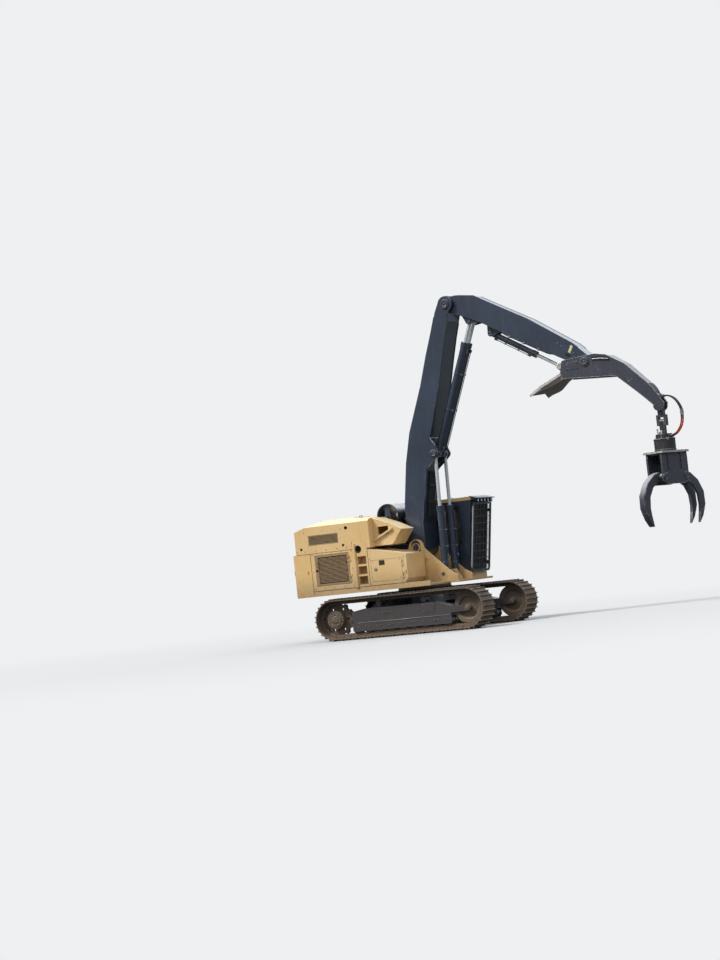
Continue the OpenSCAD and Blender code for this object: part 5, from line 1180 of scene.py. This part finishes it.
def buildFootLines():
    shape, row = Build(boomArm), footLines
    path = smoothPath(row["route"])
    for y in row["y"]:
        shape.tube(sideways(path, y), row["radius"], 10)
        for u, v in (row["route"][1], row["route"][-2]):
            shape.rod((u - 0.03, y, v), (u + 0.03, y, v), 0.029, 6)
    addClamps(shape, boomArm, row["route"], row["clamps"], (row["y"][0], row["y"][-1]), -1, 0.046)
    shape.piece("boomFootLines", "boom", "hose_rubber", angle=60)


def buildStickEdges():
    shape = Build(stickArm)
    addLips(shape, stick, stick["top"], 1)
    addLips(shape, stick, stick["belly"], -1)
    shape.piece("stickPlateEdges", "stick", "black_paint", 0.002, 1)


def buildStickLines():
    shape, clamps = Build(stickArm), Build(stickArm)
    shape.pins(stick["pins"])
    path = smoothPath(stick["route"])
    for y in stick["lineY"]:
        shape.tube(sideways(path, y), 0.016, 10)
    shape.piece("stickLines", "stick", "black_paint", 0.001, 1)
    for ys in (stick["lineY"][:2], stick["lineY"][2:]):
        addClamps(clamps, stickArm, stick["route"], stick["clamps"], ys, -1, 0.032)
    clamps.bolts(stick["endBolts"], stick["half"], 0.012, 0.010)
    clamps.piece("stickClamps", "stick", "bolt", 0.002, 1)


def buildStickMarks():
    mark, bracket = Build(stickArm), Build(stickArm)
    mark.plates(stick["reflector"], 0.279, 0.2845)
    bracket.plates(stick["bracket"], 0.279, 0.300)
    bracket.bolts([(3.665, -0.005)], 0.300, 0.014, 0.012)
    mark.piece("stickReflectors", "stick", "cream", 0.001)
    bracket.piece("stickBrackets", "stick", "seal", 0.004)


# Cylinders: line, distances from the middle, barrel's radius and length, and places along it
cylinders = {"hoist": {"line": hoistLine, "y": (-0.292, 0.292), "radius": 0.092, "length": 1.78,
                       "bands": (0.72, 1.15), "low": 0.45, "collar": 0.30},
             "stick": {"line": stickLine, "y": (-0.112, 0.112), "radius": 0.090, "length": 2.98,
                       "bands": (1.19, 2.15), "low": 0.15, "collar": 0.075},
             "heel": {"line": heelLine, "y": (0.0,), "radius": 0.075, "length": 1.38,
                      "bands": (0.45, 0.85), "low": 0.15, "collar": 0.075}}


def addPorts(dark, steel, row, y):  # two port blocks under a barrel, and the line between them
    radius, length, low = row["radius"], row["length"], row["low"]
    port = radius + 0.034
    for x in (low, length - 0.19):
        dark.block((x - 0.035, y - 0.026, -port - 0.012), (x + 0.035, y + 0.026, -radius + 0.01))
    places = (low + 0.035, low + 0.15, length * 0.6, length - 0.34, length - 0.225)
    dark.tube([(x, y, -port + 0.006) for x in places], 0.011, 8)
    for x in (low + 0.04, length - 0.25):
        steel.rod((x, y, -port + 0.006), (x + 0.022, y, -port + 0.006), 0.018, 6)
    for x in row["bands"]:
        dark.turned((x, y, 0), axisX, ringProfile(radius - 0.002, radius + 0.004, -0.017, 0.017), 40)
        steel.block((x - 0.016, y - 0.022, -port - 0.008), (x + 0.016, y + 0.022, -radius + 0.004))
        steel.bolt((x, y, -port - 0.008), -axisZ, 0.007, 0.007)


def addGland(dark, steel, row, y):  # the barrel's end, with its seal, bolts and rings
    radius, length = row["radius"], row["length"]
    seal = [(0.0475, -0.004), (0.0475, 0.008), (0.052, 0.012), (0.062, 0.009), (0.064, -0.004)]
    steel.turned((length, y, 0), axisX, seal, 32)
    steel.boltRing((length, y, 0), axisX, 8, radius - 0.008, 0.0085, 0.008)
    dark.turned((length - 0.135, y, 0), axisX, ringProfile(radius, radius + 0.009, -0.006, 0.006), 40)
    collar = ringProfile(radius - 0.004, radius + 0.007, -0.008, 0.008, 0.004)
    dark.turned((row["collar"], y, 0), axisX, collar, 40)


def buildCylinders():
    for name, row in cylinders.items():
        body = name + ("_barrel" if name == "heel" else "_barrels")
        dark, steel = Build(row["line"]), Build(row["line"])
        for y in row["y"]:
            addPorts(dark, steel, row, y)
            addGland(dark, steel, row, y)
        dark.piece(name + "CylinderPorts", body, "black_paint", 0.003, 1)
        steel.piece(name + "CylinderFittings", body, "bolt", 0.001, 1)


# Heel and gooseneck: edge welds, pins, lines over the top, jaw teeth
heelRow = {"top": [(-0.60, 0.093), (-0.30, 0.12), (0.278, 0.15), (0.56, 0.09), (0.997, -0.193),
                   (1.571, -0.787), (1.86, -1.229)],
           "belly": [(1.66, -1.33), (1.299, -0.975), (0.763, -0.465), (0.171, -0.418), (-0.60, -0.360)],
           "plan": [(-0.8, 0.314), (0.42, 0.314), (1.0, 0.216), (2.05, 0.150)],
           "route": [(1.50, -0.74), (1.585, -0.765), (1.66, -0.855), (1.715, -0.955), (1.740, -1.08)],
           "lineY": (-0.06, 0.06), "taper": 9.6,
           "pins": [(0, 0.343, 0, 0.088, (-1, 0, 0.2)), (1.75, 0.152, -1.35, 0.062, (-0.4, 0, 1))],
           "doubler": [(-0.50, 0.02), (-0.20, 0.05), (-0.20, -0.16), (-0.50, -0.16)],
           "bolts": ((-0.47, -0.01), (-0.23, 0.01), (-0.47, -0.13), (-0.23, -0.13)),
           "recess": [(0.20, 0.085), (0.42, 0.075), (0.42, -0.055), (0.20, -0.035)],
           "recessEnd": [(0.0, 0.075), (0.20, 0.030), (0.26, -0.085), (0.0, -0.055)],
           "rib": ((0.215, 0.028), (0.42, 0.018), (0.62, -0.018))}
jaw = {"edge": [(-0.70, 0.294, -0.202), (-0.85, 0.408, -0.300), (-1.0, 0.521, -0.397), (-1.13, 0.618, -0.472),
                (-1.30, 0.600, -0.569), (-1.462, 0.580, -0.662)],
       "tooth": [(-0.03, -0.012), (0.03, -0.012), (0.012, 0.030), (-0.006, 0.030)],
       "teeth": 6, "first": -0.98, "step": 0.075, "slope": 0.5745}


def heelHalf(x):  # half width of the gooseneck in plan
    return alongPath(heelRow["plan"], x)[0]


def buildHeelEdges():
    shape = Build(heelArm)
    for path in (heelRow["top"], heelRow["belly"]):
        fine = []
        for (a, b), (c, d) in zip(path, path[1:]):
            fine += [(a + (c - a) * k / 4, b + (d - b) * k / 4) for k in range(4)]
        shape.tubes([(x, heelHalf(x) - 0.001, z) for x, z in fine + [path[-1]]], 0.0075)
    shape.tubes(arcAt((0, 0), 0.113, 0.315), 0.007)
    shape.piece("heelEdges", "heel", "worn_steel")


def buildHeelPins():
    shape = Build(heelArm)
    shape.pins(heelRow["pins"])
    shape.plates(heelRow["doubler"], 0.3135, 0.322)
    shape.bolts(heelRow["bolts"], 0.322, 0.011, 0.010)
    shape.piece("heelPins", "heel", "worn_steel", 0.002, 1)


def buildNeckLines():
    shape = Build(heelArm)
    path = smoothPath(heelRow["route"])
    for y in heelRow["lineY"]:
        shape.tube(sideways(path, y), 0.016, 10)
        shape.rod((1.725, y, -1.045), (1.740, y, -1.085), 0.024, 6)
    shape.piece("neckLines", "heel", "black_paint", 0.002, 1)


def buildHeelRecess():
    shape = Build()
    for side in bothSides:
        shape.at(heelArm).plate(heelRow["recess"], side * 0.3130, side * 0.3155)
        shape.at(heelArm @ placed((0.42, side * 0.314, 0), -side * heelRow["taper"], "Z"))
        shape.plate(heelRow["recessEnd"], side * -0.001, side * 0.0015)
    shape.piece("heelRecess", "heel", "seal")


def buildHeelBareEdges():  # the recess's rib, the jaw's edges and the lug's pins
    shape = Build(heelArm)
    x, z = heelLug["behind"], heelLug["under"]
    shape.tubes([(u, heelHalf(u) + 0.005, v) for u, v in heelRow["rib"]], 0.013, 8)
    for side in bothSides:
        shape.strip([(u, side * out, v) for u, out, v in jaw["edge"]], (0.012, 0, -0.062), 0.005)
    shape.pins([(x, 0.0975, z, 0.060, (0.2, 0, -1))])
    shape.discs(x, 0.095, z, ringProfile(0.050, 0.082, -0.003, 0.005), 40)
    shape.piece("heelBareEdges", "heel", "bright", angle=50)


def buildJawTeeth():
    shape = Build()
    for side in bothSides:
        for k in range(jaw["teeth"]):
            x = jaw["first"] - k * jaw["step"]
            y = side * (0.47 + 0.05 * min(k, 3) / 3)
            shape.at(heelArm @ placed((x, y, -0.40 - abs(x + 1) * jaw["slope"]), -30))
            shape.plate(jaw["tooth"], -0.02, 0.02)
    shape.piece("jawTeeth", "heel", "worn_steel", 0.004)


# Link, rotator and grapple
rotator = {"rings": (0.035, 0.30), "radius": 0.2655, "portY": (-0.06, 0.06),
           "hoseEnds": ((-0.135, -0.06, 0.58), (-0.135, 0.06, 0.50), (0.0, -0.155, 0.52), (0.0, 0.155, 0.52))}
grapple = {"tinePin": 0.43, "tineZ": -0.64, "edgeX": 0.5455, "edgeY": 0.2955,
           "side": [(-0.505, -0.001), (-0.525, -0.16), (-0.52, -0.73), (-0.37, -0.82),
                    (0.37, -0.82), (0.52, -0.73), (0.525, -0.16), (0.505, -0.001)],
           "boltX": (-0.45, -0.30, -0.15, 0.15, 0.30, 0.45), "ribs": (-0.26, 0.26),
           "outer": [(0.25, 0.075), (0.54, -0.12), (0.735, -0.42), (0.745, -0.74), (0.61, -1.02)],
           "tip": [(0.700, -0.86), (0.455, -1.195), (0.520, -0.90)]}
tineRows = (("single_tine", "singleTineWear", -1, ((0, 0.17),)),
            ("tine_pair", "tinePairWear", 1, ((-0.13, 0.07), (0.13, 0.07))))


def buildLink():
    shape = Build(placed(neckPin))
    for side in bothSides:
        shape.pin((side * 0.1205, 0, -0.41), (side, 0, 0), 0.060, axisZ)
        for y in (-0.06, 0.06):
            shape.bolt((side * 0.12, y, -0.32), (side, 0, 0), 0.012, 0.010)
        shape.tube([(side * 0.07, y, -0.275) for y in (-0.09, 0, 0.09)], 0.007, 6)
    shape.discs(0, 0.0905, -0.20, [(0, 0.010), (0.03, 0.010), (0.036, 0.004), (0.036, -0.004)], 24)
    shape.piece("linkPins", "upper_link", "worn_steel", 0.0015, 1)


def buildRotator():
    body, ports, radius = Build(placed(headTop)), Build(placed(headTop)), rotator["radius"]
    for z in rotator["rings"]:
        body.turned((0, 0, z), axisZ, ringProfile(radius - 0.006, radius + 0.008, -0.014, 0.014, 0.004), 64)
    body.boltRing((0, 0, 0.378), axisZ, 6, 0.17, 0.022, 0.020)
    body.boltRing((0, 0, 0.320), axisZ, 16, 0.236, 0.012, 0.012)
    for y in rotator["portY"]:
        body.block((0.125, y - 0.035, 0.31), (0.20, y + 0.035, 0.40))
        body.rod((0.15, y, 0.352), (0.235, y, 0.376), 0.031, 6)
    for x, y, top in rotator["hoseEnds"]:
        ports.rod((x, y, 0.36), (x, y, 0.41), 0.030, 6)
        ports.rod((x, y, 0.39), (x, y, top), 0.020, 12)
        ports.rod((x, y, top - 0.04), (x, y, top - 0.01), 0.027, 6)
    ports.piece("rotatorPorts", "rotator", "bright", 0.0015, 1)
    body.piece("rotatorBolts", "rotator", "rotator", 0.002, 1)


def buildHeadEdges():
    shape, x, y, drop = Build(headFrame), grapple["edgeX"], grapple["edgeY"], (0, 0, -0.042)
    for side in bothSides:
        shape.strip([(end, side * y, -0.004) for end in (-0.545, 0.545)], drop, 0.002)
        shape.strip([(side * x, end, -0.004) for end in (-0.295, 0.295)], drop, 0.002)
    shape.piece("headPlateEdges", "grapple_head", "plate_edge")


def buildHeadTrim():
    shape, pinX, pinZ = Build(headFrame), grapple["tinePin"], grapple["tineZ"]
    shape.tubes([(x, 0.2345, z) for x, z in grapple["side"]], 0.007)
    for x in (-pinX, pinX):
        shape.pins([(x, 0.2455, pinZ, 0.074, (-x, 0, 0.5))])
        shape.discs(x, 0.235, pinZ, ringProfile(0.074, 0.112, -0.004, 0.010, 0.003), 40)
    for side in bothSides:
        for x in grapple["boltX"]:
            shape.bolt((x, side * 0.264, 0), axisZ, 0.013, 0.012)
        for x in grapple["ribs"]:
            shape.block((x - 0.012, side * 0.23, -0.46), (x + 0.012, side * 0.262, -0.05))
    shape.piece("grappleHeadTrim", "grapple_head", "worn_steel", 0.002, 1)


def buildTineWearAndHighlight():  # wear strips, tips and pin welds, on a blade's middle and width; their bare edges are part real wear and part a painted highlight along the tines' outer edges
    outer = grapple["outer"]
    outline = outer + [(x * 1.012 + 0.003, z + 0.004) for x, z in outer[::-1]]
    for body, name, sign, blades in tineRows:
        pin = (sign * grapple["tinePin"], 0, grapple["tineZ"])
        shape = Build(headFrame @ placed(pin) @ Matrix.Diagonal((sign, 1, 1, 1)))
        for y, width in blades:
            half = width / 2
            shape.plate(outline, y - half + 0.008, y + half - 0.008)
            shape.plate(grapple["tip"], y - half - 0.003, y + half + 0.003)
            for side in bothSides:
                shape.tube(arcAt((0, 0), 0.088, y + side * (half + 0.001), 20), 0.006, 6)
        shape.piece(name, body, "worn_steel", 0.003, 1)


# Tracks: shoe bolts, chain plates, hubs and covers
tracks = {"span": 3.8, "pitchRadius": 0.44, "wheelZ": 0.55, "gauge": 2.75, "shoes": 48, "face": 0.165,
          "boltU": (-0.026, 0.026), "boltY": (-0.115, -0.045, 0.045, 0.115),
          "link": [(-0.104, -0.022), (-0.070, -0.040), (0.055, -0.034), (0.104, -0.012), (0.104, 0.020),
                   (0.060, 0.047), (-0.060, 0.047), (-0.104, 0.030)],
          "rollers": 9, "rollerX": -1.325, "rollerStep": 2.65 / 8,
          "covers": (((0.62, 0.98), (0.52, 0.74)), ((-0.55, -0.25), (0.60, 0.74))),
          "coverBolts": ((0.65, 0.55), (0.95, 0.55), (0.65, 0.71), (0.95, 0.71),
                         (-0.52, 0.63), (-0.28, 0.63), (-0.52, 0.71), (-0.28, 0.71))}
hubs = {"idler": [(0, 0.024), (0.03, 0.024), (0.036, 0.016), (0.07, 0.014), (0.078, 0.006), (0.078, -0.004)],
        "drive": [(0, 0.02), (0.05, 0.018), (0.085, 0.010), (0.10, 0.004), (0.104, -0.004)],
        "driveBolts": ((16, 0.207, 0.21, 0.014), (10, 0.145, 0.235, 0.013))}
loopLength = 2 * tracks["span"] + math.tau * tracks["pitchRadius"]
linkPitch = loopLength / tracks["shoes"]


def loopAt(s):  # place and heading at a length along the track's loop
    a, radius, z = tracks["span"], tracks["pitchRadius"], tracks["wheelZ"]
    b = math.pi * radius
    s %= loopLength
    if s < a:
        return -a / 2 + s, z + radius, 0
    if s < a + b:
        t = (s - a) / radius
        return a / 2 + radius * math.sin(t), z + radius * math.cos(t), -t
    if s < 2 * a + b:
        return a / 2 - (s - a - b), z - radius, -math.pi
    t = (s - 2 * a - b) / radius
    return -a / 2 - radius * math.sin(t), z - radius * math.cos(t), -math.pi - t


def buildShoes():
    for name, side in (("Left", 1), ("Right", -1)):
        bolts, chain = Build(), Build()
        for i in range(tracks["shoes"]):
            x, z, heading = loopAt((i + 0.5) * linkPitch)
            here = placed((x, side * tracks["gauge"] / 2, z), -math.degrees(heading))
            bolts.at(here)
            chain.at(here)
            for u in tracks["boltU"]:
                for y in tracks["boltY"]:
                    bolts.rod((u, y, 0.069), (u, y, 0.084), 0.013, 6)
            chain.plates(tracks["link"], 0.0995, 0.1065)
            for way in bothSides:
                chain.rod((0.108, way * 0.098, -0.004), (0.108, way * 0.114, -0.004), 0.027, 14)
        bolts.piece("shoeBolts" + name, "undercarriage", "track_steel")
        chain.piece("chainPlates" + name, "undercarriage", "track_steel")


def buildHubs():
    shape, end, z = Build(), tracks["span"] / 2, tracks["wheelZ"]
    for side in bothSides:
        middle = side * tracks["gauge"] / 2
        for face in bothSides:
            out = middle + face * tracks["face"]
            shape.turned((end, out, z), (0, face, 0), hubs["idler"], 32)
            shape.boltRing((end, out + face * 0.014, z), (0, face, 0), 6, 0.054, 0.008, 0.008, first=0)
            shape.boltRing((-end, middle + face * 0.043, z), (0, face, 0), 18, 0.365, 0.012, 0.012)
        for count, radius, out, size in hubs["driveBolts"]:
            shape.boltRing((-end, middle + side * out, z), (0, side, 0), count, radius, size, 0.014)
        shape.turned((-end, middle + side * 0.235, z), (0, side, 0), hubs["drive"], 40)
        for x, up in around(3, 0.075, 2 / 3):
            foot, top = middle + side * 0.24, middle + side * 0.262
            shape.rod((x - end, foot, z + up), (x - end, top, z + up), 0.016, 6)
    shape.piece("hubBolts", "undercarriage", "track_steel", 0.001, 1)


def buildTrackFrames():
    shape = Build()
    for side in bothSides:
        middle = side * tracks["gauge"] / 2
        for face in bothSides:
            for i in range(tracks["rollers"]):
                x = tracks["rollerX"] + i * tracks["rollerStep"]
                for place in (x - 0.055, x + 0.055):
                    shape.bolt((place, middle + face * tracks["face"], 0.305), (0, face, 0), 0.014, 0.013)
        y0, y1, y2 = (middle + side * out for out in (0.164, 0.166, 0.173))
        for (x0, x1), (z0, z1) in tracks["covers"]:
            shape.block((x0, y0, z0), (x1, y2, z1))
        for x, z in tracks["coverBolts"]:
            shape.bolt((x, y2, z), (0, side, 0), 0.011, 0.010)
        shape.tube([(-1.30, y1, 0.412), (1.38, y1, 0.412)], 0.008, 6)
    shape.piece("trackFrameTrim", "undercarriage", "black_paint", 0.0015, 1)


bearing = {"rings": (1.016, 1.069, 1.122), "bolts": 12, "boltZ": 1.043, "radius": 0.72}
tread = {"first": (0.375, -1.50), "step": (0.052, 0.050), "count": (11, 21), "z": 1.2495}


def buildBearing():
    shape = Build()
    for z in bearing["rings"]:
        shape.turned((0, 0, z), axisZ, ringProfile(0.716, 0.7225, -0.005, 0.005, 0.002), 96)
    for x, y in around(bearing["bolts"], bearing["radius"]):
        shape.bolt((x, y, bearing["boltZ"]), (x, y, 0), 0.010, 0.012)
    shape.piece("bearingSeals", "undercarriage", "seal", 0.001, 1)


def buildDeckTread():  # short raised bars, each across its neighbours
    shape, (x, y), (stepX, stepY) = Build(), tread["first"], tread["step"]
    for i in range(tread["count"][0]):
        for j in range(tread["count"][1]):
            spot = (x + i * stepX, y + j * stepY, tread["z"])
            shape.at(placed(spot, 45 if (i + j) % 2 else -45, "Z"))
            shape.rod((-0.014, 0, 0), (0.014, 0, 0), 0.0045, 5)
    shape.piece("deckTread", "house", "yellow_paint")


stages = {
    "panels": (buildPanelBolts, buildPanelSeams),
    "latches": (buildLatches, buildRadiatorDoorFittings, buildServiceDoorFittings, buildDeckBoxFittings),
    "wires": (buildWires, buildLinings, buildCooler),
    "ladder": (buildLadder, buildFiller),
    "roof": (buildRoof, buildWeightBolts, buildTailLamps, buildSideReflectors),
    "tower": (buildTower, buildHoseGuardTrim),
    "lamps": (buildLamps,),
    "cab": (buildCabSeals, buildCabHandles, buildCabStep, buildWiper, buildGuard, buildCabRoof),
    "inside of the cab": (buildConsoles, buildSeat),
    "boom": (buildBoomEdges, buildBoomPins, buildBoomLines, buildFootLines),
    "stick": (buildStickEdges, buildStickLines, buildStickMarks),
    "cylinders": (buildCylinders,),
    "heel": (buildHeelEdges, buildHeelPins, buildNeckLines, buildHeelRecess, buildHeelBareEdges,
             buildJawTeeth),
    "grapple": (buildLink, buildRotator, buildHeadEdges, buildHeadTrim, buildTineWearAndHighlight),
    "tracks": (buildShoes, buildHubs, buildTrackFrames, buildBearing, buildDeckTread)}
for name, makers in stages.items():
    for make in makers:
        make()
    print("made", name)
